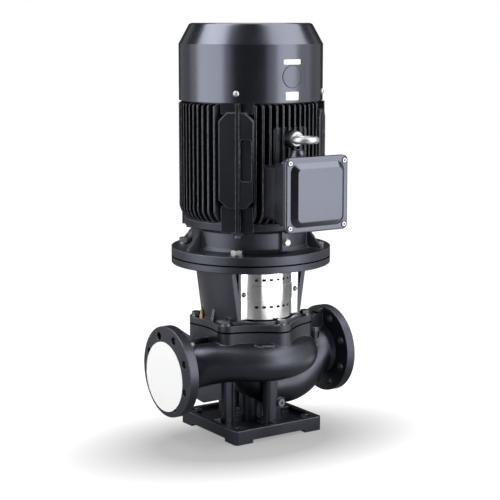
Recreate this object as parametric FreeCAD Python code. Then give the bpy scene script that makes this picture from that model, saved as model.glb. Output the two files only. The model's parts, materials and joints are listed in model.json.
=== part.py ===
"""In-line circulation pump with a flanged motor on top, in millimetres.

The origin is the middle of the foot plate's underside, on the axis of the shaft.
+Z is up along the shaft, +X points to the suction flange, -Y to the terminal box.
"""
import FreeCAD
import Part
import math
import os

V = FreeCAD.Vector

# Foot plate
BASE_SIDE = 230.0
BASE_HEIGHT = 31.0
BASE_CORNER_R = 8.0
BASE_RIM = 11.0
TRAY_Z = 19.0
RIB_THICK = 8.0
CORNER_BOSS_R = 17.0
PAD_LENGTH = 45.0
PAD_RELIEF = 7.0
ANCHOR_SPACING = BASE_SIDE - 44.0
ANCHOR_HOLE_R = 7.0

# Pump casing
FACE_TO_FACE = 440.0
PIPE_Z = 156.0
PIPE_BORE_R = 40.0
CASING_WALL = 8.5
FLANGE_R = 100.0
FLANGE_THICK = 22.0
FLANGE_PCD = 160.0
FLANGE_HOLES = 8
DISCHARGE_HOLE_R = 9.0
SUCTION_HOLE_R = 9.2
VOLUTE_Z = 175.0
VOLUTE_START_R = 27.0
VOLUTE_END_R = 35.5
VOLUTE_BASE_R = 78.0
SUCTION_Z = 91.0
CHAMBER_R = 88.0
CHAMBER_FLOOR_Z = 148.0
DRUM_R = 109.0
LEG_OFFSET = 67.0
LEG_SHIFT = 7.0
LEG_WIDTH = 29.0
LEG_CORNER_R = 10.0
FOOT_R = 26.0
CASING_FLANGE_Z = 218.0
SEAM_Z = 242.0
LOBE_COUNT = 6
LOBE_PCD = 244.0
LOBE_OUTER_R = 137.0
LOBE_CORNER_R = 129.0
LOBE_HALF_ANGLE = 9.0
LOBE_FILLET_R = 4.0
WAIST_R = 115.0
LOBE_FOOT_Z = 203.0
COVER_RIM_R = 97.0
COVER_SEAT_Z = 228.0
GASKET_THICK = 1.5
RING_OUTER_R = 50.0
RING_Z0 = 141.0
PLUG_R = 6.5
ARROW_X = -48.0
ARROW_Y = -118.0
ARROW_TURN = 158.0
SUCTION_GAUGE = (166.0, -17.0, 205.0)
DISCHARGE_GAUGE = (-174.0, -24.0, 214.0)
DRAIN_X = 26.0
DRAIN_Y = -80.0
DRAIN_Z = 68.0

# Lantern between casing and motor
LANTERN_FLOOR = 15.5
LANTERN_FOOT_R = 110.5
LANTERN_HEAD_R = 123.9
LANTERN_WALL = 9.0
WINDOW_Y = 73.3
WINDOW_Z0 = 264.0
WINDOW_Z1 = 371.0
LANTERN_FLANGE_THICK = 16.0
MOTOR_SEAM_Z = 396.5
MOTOR_FLANGE_R = 176.5
MOTOR_FLANGE_THICK = 20.0
MOTOR_PCD = 300.0
SPIGOT_R = 125.0
SPIGOT_DEPTH = 5.0
MOTOR_BOLT_ANGLES = (45, 135, 225, 315)
LANTERN_GUSSET_TURN = 10.0
VENT_ANGLE = 163.0
VENT_R = 113.0
VENT_THREAD_R = 4.0
VENT_SCREW_R = 2.5

# Window guards
GUARD_THICK = 1.2
GUARD_HALF_WIDTH = 75.0
GUARD_BULGE_HALF = 59.0
GUARD_BULGE_Y = 107.0
GUARD_Z0 = 267.0
GUARD_Z1 = 367.0
GUARD_SLOT_ROWS = (294.5, 354.0)
GUARD_SLOT_COUNT = 7
GUARD_SLOT_PITCH = 16.4
GUARD_SWAGE = 1.4
GUARD_SWAGE_Z0 = 305.5
GUARD_SWAGE_Z1 = 340.7
GUARD_SLOT_WIDTH = 8.0
GUARD_SLOT_HEIGHT = 5.0
GUARD_SCREW_Z = 322.0
GUARD_SCREW_X = 68.0

# Motor
NECK_R = 130.0
FRAME_LENGTH = 280.0
FRAME_RING_R = 147.5
FRAME_Z = MOTOR_SEAM_Z + 68.5
FRAME_TOP_Z = FRAME_Z + FRAME_LENGTH
FRAME_ROOT_R = FRAME_RING_R - 13.5
FRAME_BORE_R = FRAME_ROOT_R - 8.0
FRAME_RING_TOP_Z = FRAME_Z + 20.0
FIN_TIP_R = FRAME_RING_R + 10.3
FIN_THICK = 3.6
FIN_PITCH = 14.3
SIDE_FIN_COUNT = 11
REAR_FIN_COUNT = 2
FRONT_FIN_COUNT = 12
FIN_TOP_Z = FRAME_TOP_Z - 9.0
PAD_HALF_WIDTH = 38.0
PAD_ANGLES = (225, 315)
PAD_FACE_R = FIN_TIP_R + 2.0
PAD_Z0 = FRAME_Z + 52.0
PAD_Z1 = FRAME_TOP_Z - 25.0
PAD_CHAMFER = 18.0
BOSS_HALF_WIDTH = 35.0
BOSS_R = FIN_TIP_R - 9.8
STATOR_BORE_R = 80.0
AIR_GAP = 0.6
CORE_Z0 = FRAME_Z + 70.0
CORE_Z1 = FRAME_TOP_Z - 60.0
BEARING_BORE_R = 25.0
BEARING_OUTER_R = 55.0
BEARING_WIDTH = 27.0
LOWER_BEARING_Z = MOTOR_SEAM_Z + 28.5
UPPER_BEARING_Z = FRAME_TOP_Z + 3.0
BALL_COUNT = 8
BALL_CLEARANCE = 0.3
SHAFT_END_R = 21.0
EARTH_SEAT_Y = 138.0
EARTH_X = -1.0
EARTH_Z = MOTOR_SEAM_Z + 43.5
SHIELD_BOLT_R = 140.0
LUG_THICK = 7.0
FAN_BORE_R = 20.0
FAN_Z0 = UPPER_BEARING_Z + 52.0
FAN_Z1 = FAN_Z0 + 48.0
FAN_BLADES = 8
COVER_SHEET = 2.0
COVER_RISE = 44.5
COVER_R = FIN_TIP_R - 0.5
COVER_TOP_R = COVER_R - 23.9
COVER_Z0 = FRAME_TOP_Z - 6.0
COVER_CREASE_Z = FAN_Z1 + 12.0
COVER_TOP_Z = COVER_CREASE_Z + COVER_RISE
COVER_SCREW_Z = COVER_Z0 + 19.5
COVER_PLUG_Z = COVER_Z0 + 54.5
FAN_R = COVER_R - 35.0
COVER_PLUG_R = 24.0
PLUG_GAP = 0.9

# Terminal box and eye bolt
SEAT_HALF_WIDTH = 64.0
LID_HALF_WIDTH = 79.0
LID_HEIGHT = 156.0
LID_Z0 = FRAME_Z + 12.0
LID_Z1 = LID_Z0 + LID_HEIGHT
BOX_Z0 = LID_Z0 + 18.0
BOX_Z1 = LID_Z1 - 16.0
BOX_BACK_Y = -FIN_TIP_R - 28.2
BOX_FRONT_Y = BOX_BACK_Y - 49.0
BOX_HALF_WIDTH = LID_HALF_WIDTH - 13.0
BOX_DRAFT = 8.0
BOX_WALL = 4.0
BOX_RIM_EXTRA = 4.0
LID_FRONT_Y = BOX_FRONT_Y - 13.5
LID_PILLOW_Y = LID_FRONT_Y - 11.5
LID_SCREW_X = LID_HALF_WIDTH - 10.0
LID_SCREW_DZ = LID_HEIGHT / 2 - 11.0
LID_SCREW_R = 2.5
POST_R = 7.0
PILLOW_HALF_X = LID_HALF_WIDTH - 10.3
PILLOW_HALF_Z = LID_HEIGHT / 2 - 11.0
PILLOW_TAPER = 12.0
EYE_Z = LID_Z1 + 31.0
EYE_SEAT_Y = -FIN_TIP_R - 12.2
EYE_RING_R = 22.0
EYE_BAR_R = 7.5
BOX_SCREW_X = 52.0
BOX_SCREW_Z = (BOX_Z0 + 15.0, BOX_Z1 - 16.0)
PLUG_ENTRY_R = 12.0
PLUG_SEAT_RISE = 6.0
PLUG_ENTRY_X = -22.0
PLUG_ENTRY_Y = BOX_BACK_Y - 24.0

# Rotating pump parts
IMPELLER_R = 82.0
EYE_R = 40.0
IMPELLER_OUTLET = 15.0
BLADE_COUNT = 6
BLADE_SWEEP = 62.0
BLADE_BEND_R = 48.0
BLADE_THICK = 4.0
STUB_R = 17.0
SLEEVE_R = 33.0
SLEEVE_Z0 = 288.0
SLEEVE_Z1 = 384.0
STUB_Z0 = 140.0
NUT_Z0 = STUB_Z0 + 2.0
NUT_TOP_Z = NUT_Z0 + 13.0
HUB_Z0 = NUT_TOP_Z + 3.0
HUB_TOP_Z = 192.0
SHROUD_Z = 182.0
SEAL_BORE_R = 27.0
KEY_WIDTH = 8.0
KEY_RISE = 0.5
RUN_CLEARANCE = 0.4
FACE_CLEARANCE = 0.1

# Fasteners: thread radius, head across flats, head height, washer radius
M6 = (3.0, 10.0, 4.0, 6.0)
M12 = (6.0, 18.0, 7.5, 12.0)
M16 = (8.0, 24.0, 10.0, 15.0)
SHIELD_BOLT = (4.0, 13.0, 5.5, 8.0)
WASHER_THICK = 2.5
THREAD_GAP = 0.05

PARTS = {}


def save(name, shape):
    """Keep one named node, as one solid or a group of separate solids."""
    if not shape.isValid():
        print("not valid:", name)
    solids = shape.Solids
    PARTS[name] = solids[0] if len(solids) == 1 else Part.makeCompound(solids)


def fuse(first, *others):
    """Join solids into one and merge the faces that run on."""
    result = first.fuse(list(others)) if others else first
    return result.removeSplitter()


def cut(body, *tools):
    """Take the tools away from the body."""
    return body.cut(list(tools)) if tools else body


def disc(radius, z0, z1, x=0.0, y=0.0):
    """Upright cylinder."""
    return Part.makeCylinder(radius, z1 - z0, V(x, y, z0))


def rod(radius, start, end):
    """Cylinder between two points."""
    way = V(*end) - V(*start)
    return Part.makeCylinder(radius, way.Length, V(*start), way)


def tube(outer, inner, z0, z1):
    """Upright ring with flat ends."""
    return disc(outer, z0, z1).cut(disc(inner, z0 - 1, z1 + 1))


def block(x0, x1, y0, y1, z0, z1):
    """Box between two corners."""
    return Part.makeBox(x1 - x0, y1 - y0, z1 - z0, V(x0, y0, z0))


def revolve(points):
    """Solid of revolution about the shaft, from (radius, height) points."""
    wire = Part.makePolygon([V(r, 0, z) for r, z in points] + [V(points[0][0], 0, points[0][1])])
    return Part.Face(wire).revolve(V(0, 0, 0), V(0, 0, 1), 360)


def turned(shape, degrees):
    """Copy of the shape, turned about the shaft."""
    copy = shape.copy()
    copy.rotate(V(0, 0, 0), V(0, 0, 1), degrees)
    return copy


def moved(shape, x, y, z):
    """Copy of the shape, shifted."""
    copy = shape.copy()
    copy.translate(V(x, y, z))
    return copy


def around(shape, angles):
    """List of copies of the shape at the given angles about the shaft."""
    return [turned(shape, angle) for angle in angles]


def plate(points, thick, y_mid=0.0):
    """Flat plate from (x, z) points, standing in the plane of the pipe."""
    start = y_mid - thick / 2
    wire = Part.makePolygon([V(x, start, z) for x, z in points] + [V(points[0][0], start, points[0][1])])
    return Part.Face(wire).extrude(V(0, thick, 0))


def hexagon(across_flats, z0, z1):
    """Hexagonal prism on the shaft's axis."""
    radius = across_flats / math.sqrt(3)
    corners = [V(radius * math.cos(math.radians(60 * i)), radius * math.sin(math.radians(60 * i)), z0)
               for i in range(7)]
    return Part.Face(Part.makePolygon(corners)).extrude(V(0, 0, z1 - z0))


def nut_head(size, height=None):
    """Hexagonal head standing on z = 0, with its top corners turned off."""
    thread_r, flats, head, washer_r = size
    height = height or head
    top = hexagon(flats, 0, height)
    crown = revolve([(0, 0), (flats * 0.62, 0), (flats * 0.62, height - flats * 0.07),
                     (flats * 0.5, height), (0, height)])
    return top.common(crown)


def hex_bolt(size, length):
    """Bolt with its seat at z = 0, the head above and the thread below."""
    return fuse(nut_head(size), disc(size[0], -length, 0))


def washer(size, z0=0.0):
    """Flat washer that the bolt passes through."""
    return tube(size[3], size[0] + 2 * THREAD_GAP, z0, z0 + WASHER_THICK)


def socket_screw(thread_r, head_r, head, length, socket_flats):
    """Cylinder-head screw with a hexagon socket, seat at z = 0."""
    body = fuse(disc(head_r, 0, head), disc(thread_r, -length, 0))
    return body.cut(hexagon(socket_flats, head * 0.4, head + 1))


def rounded_slab(half_x, half_y, z0, z1, radius):
    """Upright block with rounded vertical corners."""
    slab = block(-half_x, half_x, -half_y, half_y, z0, z1)
    upright = [e for e in slab.Edges if abs(e.tangentAt(e.FirstParameter).z) > 0.9]
    return slab.makeFillet(radius, upright)


def facing_front(shape, x, y, z):
    """Copy of a shape made along +Z, laid down to point along -Y from a seat."""
    copy = shape.copy()
    copy.rotate(V(0, 0, 0), V(1, 0, 0), 90)
    copy.translate(V(x, y, z))
    return copy


def lobe_angles():
    """Angles of the bolts between the casing and the lantern."""
    return [-90 + 360 / LOBE_COUNT * i for i in range(LOBE_COUNT)]


def lobed_flange(z0, z1):
    """Round flange pulled out into a lobe at each bolt, with hollow sides between the lobes."""

    def polar(radius, degrees):
        angle = math.radians(degrees)
        return V(radius * math.cos(angle), radius * math.sin(angle), z0)

    step = 360 / LOBE_COUNT
    edges = []
    for angle in lobe_angles():
        start, end = polar(LOBE_CORNER_R, angle - LOBE_HALF_ANGLE), polar(LOBE_CORNER_R, angle + LOBE_HALF_ANGLE)
        following = polar(LOBE_CORNER_R, angle + step - LOBE_HALF_ANGLE)
        edges += [Part.Arc(start, polar(LOBE_OUTER_R, angle), end).toShape(),
                  Part.Arc(end, polar(WAIST_R, angle + step / 2), following).toShape()]
    slab = Part.Face(Part.Wire(edges)).extrude(V(0, 0, z1 - z0))
    upright = [e for e in slab.Edges if abs(e.tangentAt(e.FirstParameter).z) > 0.9]
    return slab.makeFillet(LOBE_FILLET_R, upright)


def base_plate():
    """Foot plate: a rimmed tray on four pads, with cross ribs and anchor bosses."""
    half = BASE_SIDE / 2
    body = rounded_slab(half, half, 0, BASE_HEIGHT, BASE_CORNER_R)
    inner = half - BASE_RIM
    tray = rounded_slab(inner, inner, TRAY_Z, BASE_HEIGHT + 1, BASE_CORNER_R)
    spots = [(sx * ANCHOR_SPACING / 2, sy * ANCHOR_SPACING / 2) for sx in (-1, 1) for sy in (-1, 1)]
    keep = [disc(CORNER_BOSS_R, TRAY_Z, BASE_HEIGHT + 1, x, y) for x, y in spots]
    keep += [block(-half, half, -RIB_THICK / 2, RIB_THICK / 2, TRAY_Z, BASE_HEIGHT + 1),
             block(-RIB_THICK / 2, RIB_THICK / 2, -half, half, TRAY_Z, BASE_HEIGHT + 1)]
    legs = [leg(x, y, TRAY_Z, BASE_HEIGHT + 2, LEG_WIDTH / 2 + RUN_CLEARANCE) for x, y in leg_spots()]
    legs.append(disc(FOOT_R + RUN_CLEARANCE, TRAY_Z, BASE_HEIGHT + 2))
    body = body.cut(tray.cut(keep)).cut(legs)
    gap = half - PAD_LENGTH
    body = body.cut([block(-gap, gap, -half - 1, half + 1, -1, PAD_RELIEF),
                     block(-half - 1, half + 1, -gap, gap, -1, PAD_RELIEF)])
    holes = [disc(ANCHOR_HOLE_R, -1, BASE_HEIGHT + 1, x, y) for x, y in spots]
    for x, y in leg_spots():
        holes += [disc(M12[0] + 0.5, 0, TRAY_Z + 1, x, y), disc(M12[3], 0, PAD_RELIEF + M12[2], x, y)]
    return cut(body, *holes)


def leg_spots():
    """Middle of each leg that the casing stands on."""
    return [(-LEG_OFFSET, 0), (LEG_SHIFT, -LEG_OFFSET), (LEG_SHIFT, LEG_OFFSET), (LEG_OFFSET, 0)]


def leg(x, y, z0, z1, half):
    """One leg of the casing, with rounded corners."""
    return moved(rounded_slab(half, half, z0, z1, LEG_CORNER_R), x, y, 0)


def base_screws():
    """Screws that hold the foot plate to the casing's legs, heads below."""
    seat = PAD_RELIEF + M12[2]
    head = socket_screw(M12[0], 9.0, M12[2], 30.0, 10.0)
    head.rotate(V(0, 0, 0), V(1, 0, 0), 180)
    return Part.makeCompound([moved(head, x, y, seat) for x, y in leg_spots()])


def volute_sections():
    """Places of the spiral's round sections: centre, way of flow and inner radius."""
    sections = []
    turns = 9
    start, sweep = 120.0, 260.0
    for i in range(turns + 1):
        share = i / turns
        angle = math.radians(start - sweep * share)
        inner = VOLUTE_START_R + (VOLUTE_END_R - VOLUTE_START_R) * share
        centre = VOLUTE_BASE_R + inner
        place = V(centre * math.cos(angle), centre * math.sin(angle), VOLUTE_Z)
        sections.append((place, V(math.sin(angle), -math.cos(angle), 0), inner))
    neck = FACE_TO_FACE / 2 - FLANGE_THICK
    drop = VOLUTE_Z - PIPE_Z
    sections.append((V(-neck * 0.71, -32, VOLUTE_Z - drop * 0.35), V(-0.86, 0.48, -0.15), VOLUTE_END_R + 2.5))
    sections.append((V(-neck * 0.87, -9, VOLUTE_Z - drop * 0.8), V(-0.96, 0.26, -0.12), PIPE_BORE_R - 1))
    sections.append((V(-neck - 1, 0, PIPE_Z), V(-1, 0, 0), PIPE_BORE_R))
    return sections


def volute(wall):
    """Spiral and discharge branch as one smooth body, grown by a wall."""
    rings = [Part.Wire(Part.makeCircle(inner + wall, place, way)) for place, way, inner in volute_sections()]
    return Part.makeLoft(rings, True, False)


def suction_path():
    """Line that the suction passage follows, from the flange to the impeller's eye."""
    knee_x = FACE_TO_FACE / 2 - 32
    drop_end = V(118, 0, SUCTION_Z)
    corners = [V(FACE_TO_FACE / 2, 0, PIPE_Z), V(knee_x, 0, PIPE_Z), drop_end, V(0, 0, SUCTION_Z),
               V(0, 0, CHAMBER_FLOOR_Z)]
    bends = [55.0, 75.0, 50.0]
    edges, last = [], corners[0]
    for before, corner, after, radius in zip(corners, corners[1:], corners[2:], bends):
        back = (before - corner).normalize()
        onward = (after - corner).normalize()
        half = back.getAngle(onward) / 2
        reach = radius / math.tan(half)
        middle = corner + (back + onward).normalize() * (radius / math.sin(half) - radius)
        start, end = corner + back * reach, corner + onward * reach
        edges += [Part.LineSegment(last, start).toShape(), Part.Arc(start, middle, end).toShape()]
        last = end
    edges.append(Part.LineSegment(last, corners[-1]).toShape())
    return Part.Wire(edges)


def suction(radius):
    """Suction passage of one radius along its path."""
    path = suction_path()
    ring = Part.Wire(Part.makeCircle(radius, V(FACE_TO_FACE / 2, 0, PIPE_Z), V(1, 0, 0)))
    return path.makePipeShell([ring], True, False)


def pipe_flange(side):
    """Pipe flange at one end, with its bolt holes off the centre lines."""
    face = FACE_TO_FACE / 2
    body = rod(FLANGE_R, (side * (face - FLANGE_THICK), 0, PIPE_Z), (side * face, 0, PIPE_Z))
    rim = [e for e in body.Edges if e.Length > 2 * FLANGE_R and hasattr(e.Curve, "Radius")]
    body = body.makeFillet(1.5, rim)
    hole_r = SUCTION_HOLE_R if side > 0 else DISCHARGE_HOLE_R
    holes = []
    for i in range(FLANGE_HOLES):
        angle = math.radians(360 / FLANGE_HOLES * (i + 0.5))
        y, z = FLANGE_PCD / 2 * math.cos(angle), PIPE_Z + FLANGE_PCD / 2 * math.sin(angle)
        holes.append(rod(hole_r, (side * (face - FLANGE_THICK - 2), y, z), (side * (face + 2), y, z)))
    return body.cut(holes)


def neck_collar(side):
    """Cone that leads from a branch into its flange."""
    back = FACE_TO_FACE / 2 - FLANGE_THICK
    outer = PIPE_BORE_R + CASING_WALL
    return Part.makeCone(outer - 1, outer + 7, 10, V(side * (back - 10), 0, PIPE_Z), V(side, 0, 0))


def flow_arrow():
    """Raised arrow cast on top of the spiral, pointing with the flow."""
    wide, slim, long = 9.0, 4.5, 26.0
    points = [(-long, -slim), (2, -slim), (2, -wide), (18, 0), (2, wide), (2, slim), (-long, slim)]
    wire = Part.makePolygon([V(x, y, 0) for x, y in points + points[:1]])
    arrow = Part.Face(wire).extrude(V(0, 0, 60))
    arrow.rotate(V(0, 0, 0), V(0, 0, 1), ARROW_TURN)
    arrow.translate(V(ARROW_X, ARROW_Y, VOLUTE_Z))
    return arrow.common(volute(CASING_WALL + 2))


def gauge_spots():
    """Seat of each gauge plug on the two branches."""
    return [SUCTION_GAUGE, DISCHARGE_GAUGE]


def volute_casing():
    """Pump casing: spiral, branches, flanges, legs, ribs and bosses as one casting."""
    half = FACE_TO_FACE / 2
    drum = revolve([(0, CHAMBER_FLOOR_Z - 10), (70, CHAMBER_FLOOR_Z - 10), (DRUM_R, CHAMBER_FLOOR_Z + 12),
                    (DRUM_R, CASING_FLANGE_Z + 2), (0, CASING_FLANGE_Z + 2)])
    top = lobed_flange(LOBE_FOOT_Z, SEAM_Z)
    legs = [leg(x, y, TRAY_Z, CHAMBER_FLOOR_Z + 10, LEG_WIDTH / 2) for x, y in leg_spots()]
    back = half - FLANGE_THICK + 2
    ribs = [plate([(s * back, PIPE_Z), (s * back, PIPE_Z + FLANGE_R - 4), (s * (back - 12), PIPE_Z + FLANGE_R - 8),
                   (s * 150, CASING_FLANGE_Z + 4), (s * 104, CASING_FLANGE_Z + 2), (s * 104, PIPE_Z)], 10)
            for s in (-1, 1)]
    web = plate([(-60, CHAMBER_FLOOR_Z), (-60, 74), (-128, 74), (-172, 104), (-172, PIPE_Z - 20)], 10)
    cheek = plate([(60, SUCTION_Z), (118, SUCTION_Z), (176, PIPE_Z - 6), (170, VOLUTE_Z), (60, VOLUTE_Z)], 72)
    bosses = [disc(11, z - 40, z, x, y) for x, y, z in gauge_spots()]
    drain = rod(13, (DRAIN_X, -20, DRAIN_Z), (DRAIN_X, DRAIN_Y, DRAIN_Z))
    foot = disc(FOOT_R, TRAY_Z, SUCTION_Z)
    body = fuse(drum, top, volute(CASING_WALL), suction(PIPE_BORE_R + CASING_WALL), foot, *legs)
    body = fuse(body, *ribs, web, cheek, *bosses, drain, *[pipe_flange(s) for s in (-1, 1)],
                *[neck_collar(s) for s in (-1, 1)])
    chamber = revolve([(0, CHAMBER_FLOOR_Z), (CHAMBER_R, CHAMBER_FLOOR_Z), (CHAMBER_R, COVER_SEAT_Z),
                       (COVER_RIM_R + 0.2, COVER_SEAT_Z), (COVER_RIM_R + 0.2, SEAM_Z + 1), (0, SEAM_Z + 1)])
    bore = rod(PIPE_BORE_R, (-half - 1, 0, PIPE_Z), (-half + FLANGE_THICK + 3, 0, PIPE_Z))
    lead = rod(PIPE_BORE_R, (half - 1, 0, PIPE_Z), (half + 1, 0, PIPE_Z))
    eye = disc(RING_OUTER_R, RING_Z0, CHAMBER_FLOOR_Z + 1)
    body = body.cut([chamber, volute(0), suction(PIPE_BORE_R), bore, lead, eye])
    lobe_r = LOBE_PCD / 2
    holes = [turned(disc(M12[0] + THREAD_GAP, CASING_FLANGE_Z - 2, SEAM_Z + 1, lobe_r), a)
             for a in lobe_angles()]
    holes += [disc(M12[0] + THREAD_GAP, TRAY_Z - 1, TRAY_Z + 30, x, y) for x, y in leg_spots()]
    holes += [disc(PLUG_R + THREAD_GAP, z - 34, z + 1, x, y) for x, y, z in gauge_spots()]
    holes.append(rod(PLUG_R + THREAD_GAP, (DRAIN_X, -15, DRAIN_Z), (DRAIN_X, DRAIN_Y - 1, DRAIN_Z)))
    return fuse(cut(body, *holes), flow_arrow())


def wear_ring():
    """Replaceable ring in the casing round the impeller's eye."""
    return tube(RING_OUTER_R, EYE_R + 4 + RUN_CLEARANCE, RING_Z0, CHAMBER_FLOOR_Z)


def seal_cover():
    """Cover that closes the casing and holds the still half of the shaft seal."""
    seat = COVER_SEAT_Z + GASKET_THICK
    return revolve([(SEAL_BORE_R, SEAM_Z + 12), (SEAL_BORE_R + 9, SEAM_Z + 12), (SEAL_BORE_R + 9, SEAM_Z),
                    (COVER_RIM_R, SEAM_Z), (COVER_RIM_R, seat), (CHAMBER_R - 0.5, seat), (CHAMBER_R - 0.5, 213),
                    (50, 213), (44, 205), (SEAL_BORE_R + 8, 205), (SEAL_BORE_R + 8, 222), (SEAL_BORE_R, 222)])


def casing_gasket():
    """Flat gasket under the rim of the seal cover."""
    return tube(COVER_RIM_R, CHAMBER_R, COVER_SEAT_Z, COVER_SEAT_Z + GASKET_THICK)


def seal_seat():
    """Still seal ring in the cover."""
    return revolve([(STUB_R + 1.5, 222 - 6), (SEAL_BORE_R - 4, 222 - 6), (SEAL_BORE_R - 4, 222),
                    (SEAL_BORE_R, 222), (SEAL_BORE_R, 234), (STUB_R + 1.5, 234)])


def seal_ring():
    """Turning seal ring, pressed up against the still one."""
    face = 222 - 6 - FACE_CLEARANCE
    return revolve([(STUB_R, face - 12), (SEAL_BORE_R - 2, face - 12), (SEAL_BORE_R - 2, face - 4),
                    (SEAL_BORE_R - 5, face), (STUB_R, face)])


def seal_spring():
    """Coil spring of the seal, between the impeller's hub and the turning ring."""
    wire_r, coil_r = 1.3, STUB_R + 3.4
    top = 222 - 6 - FACE_CLEARANCE - 12
    bottom = HUB_TOP_Z
    height = top - bottom - 2 * wire_r
    helix = Part.makeHelix(height / 2.5, height, coil_r)
    profile = Part.Wire(Part.makeCircle(wire_r, V(coil_r, 0, 0), V(0, 1, 0)))
    coil = Part.Wire(helix).makePipeShell([profile], True, True)
    return moved(coil, 0, 0, bottom + wire_r)


def impeller():
    """Closed impeller: back shroud, front shroud with its eye, and curved blades."""
    low = SHROUD_Z - IMPELLER_OUTLET
    hub = revolve([(STUB_R - 3, HUB_Z0), (23, HUB_Z0), (26, HUB_Z0 + 18), (STUB_R + 9, HUB_TOP_Z), (STUB_R - 3, HUB_TOP_Z)])
    back = revolve([(20, SHROUD_Z - 3), (IMPELLER_R, SHROUD_Z), (IMPELLER_R, SHROUD_Z + 4),
                    (20, SHROUD_Z + 6)])
    neck = EYE_R + 4
    front = revolve([(EYE_R, RING_Z0 + 1.5), (neck, RING_Z0 + 1.5), (neck, low - 14), (IMPELLER_R, low - 4),
                     (IMPELLER_R, low), (EYE_R + 3, low - 7), (EYE_R, low - 12)])
    room = revolve([(30, low - 5), (EYE_R + 3, low - 7), (IMPELLER_R, low - 1), (IMPELLER_R, SHROUD_Z + 1),
                    (30, SHROUD_Z)])
    blades = []
    for i in range(BLADE_COUNT):
        blades.append(turned(blade(low - 8, SHROUD_Z + 2), 360 / BLADE_COUNT * i).common(room))
    body = fuse(hub, back, *blades, front)
    key = block(STUB_R - 4, STUB_R + KEY_RISE, -KEY_WIDTH / 2 - THREAD_GAP, KEY_WIDTH / 2 + THREAD_GAP,
                157, HUB_TOP_Z + 1)
    return body.cut(key)


def blade(z0, z1):
    """One backward curved blade, an arc of even thickness between the eye and the rim."""
    sweep = math.radians(BLADE_SWEEP)
    root = V(EYE_R - 8, 0, 0)
    tip = V(IMPELLER_R * math.cos(sweep), IMPELLER_R * math.sin(sweep), 0)
    chord = tip - root
    middle = root + chord * 0.5
    aside = V(-chord.y, chord.x, 0).normalize()
    centre = middle + aside * math.sqrt(BLADE_BEND_R ** 2 - (chord.Length / 2) ** 2)
    wall = disc(BLADE_BEND_R + BLADE_THICK / 2, z0, z1, centre.x, centre.y)
    wall = wall.cut(disc(BLADE_BEND_R - BLADE_THICK / 2, z0 - 1, z1 + 1, centre.x, centre.y))
    return wall.common(block(root.x - 2, IMPELLER_R, -IMPELLER_R, IMPELLER_R, z0, z1))


def stub_shaft():
    """Pump shaft: a bored sleeve for the motor's shaft end above, the impeller's seat below."""
    seat = STUB_R - 3
    body = revolve([(0, STUB_Z0), (8, STUB_Z0), (8, HUB_Z0), (seat, HUB_Z0), (seat, HUB_TOP_Z), (STUB_R, HUB_TOP_Z),
                    (STUB_R, 262), (STUB_R + 6, 272), (SLEEVE_R, SLEEVE_Z0), (SLEEVE_R, SLEEVE_Z1),
                    (0, SLEEVE_Z1)])
    bore = disc(SHAFT_END_R, SLEEVE_Z0 + 6, SLEEVE_Z1 + 1)
    keyway = block(SHAFT_END_R - 1, SHAFT_END_R + 3.3, -6, 6, SLEEVE_Z0 + 20, SLEEVE_Z1 + 1)
    impeller_slot = block(seat - 4, seat + 1, -KEY_WIDTH / 2, KEY_WIDTH / 2, HUB_Z0 + 2, HUB_TOP_Z - 2)
    screws = [turned(rod(4, (SHAFT_END_R - 2, 0, z), (SLEEVE_R + 1, 0, z)), 180) for z in screw_heights()]
    return cut(body, bore, keyway, impeller_slot, *screws)


def screw_heights():
    """Heights of the clamp screws in the sleeve."""
    return (SLEEVE_Z0 + 26, SLEEVE_Z1 - 22)


def coupling_screws():
    """Clamp screws of the sleeve, with hexagon sockets."""
    body = rod(4 - THREAD_GAP, (SHAFT_END_R + 0.1, 0, 0), (SLEEVE_R - 0.5, 0, 0))
    socket = hexagon(4.0, 0, 5)
    socket.rotate(V(0, 0, 0), V(0, 1, 0), 90)
    screw = turned(body.cut(moved(socket, SLEEVE_R - 5, 0, 0)), 180)
    return Part.makeCompound([moved(screw, 0, 0, z) for z in screw_heights()])


def shaft_key():
    """Key between the motor's shaft end and the sleeve."""
    return block(SHAFT_END_R - 5, SHAFT_END_R + 3, -6 + THREAD_GAP, 6 - THREAD_GAP, SLEEVE_Z0 + 22,
                 SLEEVE_Z1 - 8)


def impeller_key():
    """Key between the pump shaft and the impeller."""
    seat = STUB_R - 3
    return block(seat - 4, STUB_R + KEY_RISE - 0.2, -KEY_WIDTH / 2, KEY_WIDTH / 2, HUB_Z0 + 2, HUB_TOP_Z - 2)


def impeller_washer():
    """Washer under the impeller nut."""
    return tube(16.0, 8 + THREAD_GAP, NUT_TOP_Z, HUB_Z0)


def impeller_nut():
    """Nut that holds the impeller on the shaft's lower end."""
    return hexagon(24, NUT_Z0, NUT_TOP_Z).cut(disc(8 + THREAD_GAP, NUT_Z0 - 1, NUT_TOP_Z + 1))


def motor_shaft():
    """Motor shaft with its end for the sleeve, bearing seats, core seat and fan seat."""
    low, high = LOWER_BEARING_Z, UPPER_BEARING_Z
    body = revolve([(0, SLEEVE_Z0 + 7), (SHAFT_END_R, SLEEVE_Z0 + 7), (SHAFT_END_R, low - 22),
                    (BEARING_BORE_R, low - 22), (BEARING_BORE_R, low + BEARING_WIDTH), (31, low + BEARING_WIDTH),
                    (31, high), (BEARING_BORE_R, high), (BEARING_BORE_R, high + BEARING_WIDTH),
                    (FAN_BORE_R, high + BEARING_WIDTH), (FAN_BORE_R, FAN_Z1 + 8), (0, FAN_Z1 + 8)])
    keyway = block(SHAFT_END_R - 5, SHAFT_END_R + 1, -6, 6, SLEEVE_Z0 + 22, SLEEVE_Z1 - 8)
    groove = tube(FAN_BORE_R + 1, FAN_BORE_R - 1.5, FAN_Z1, FAN_Z1 + 2)
    return cut(body, keyway, groove)


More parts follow.
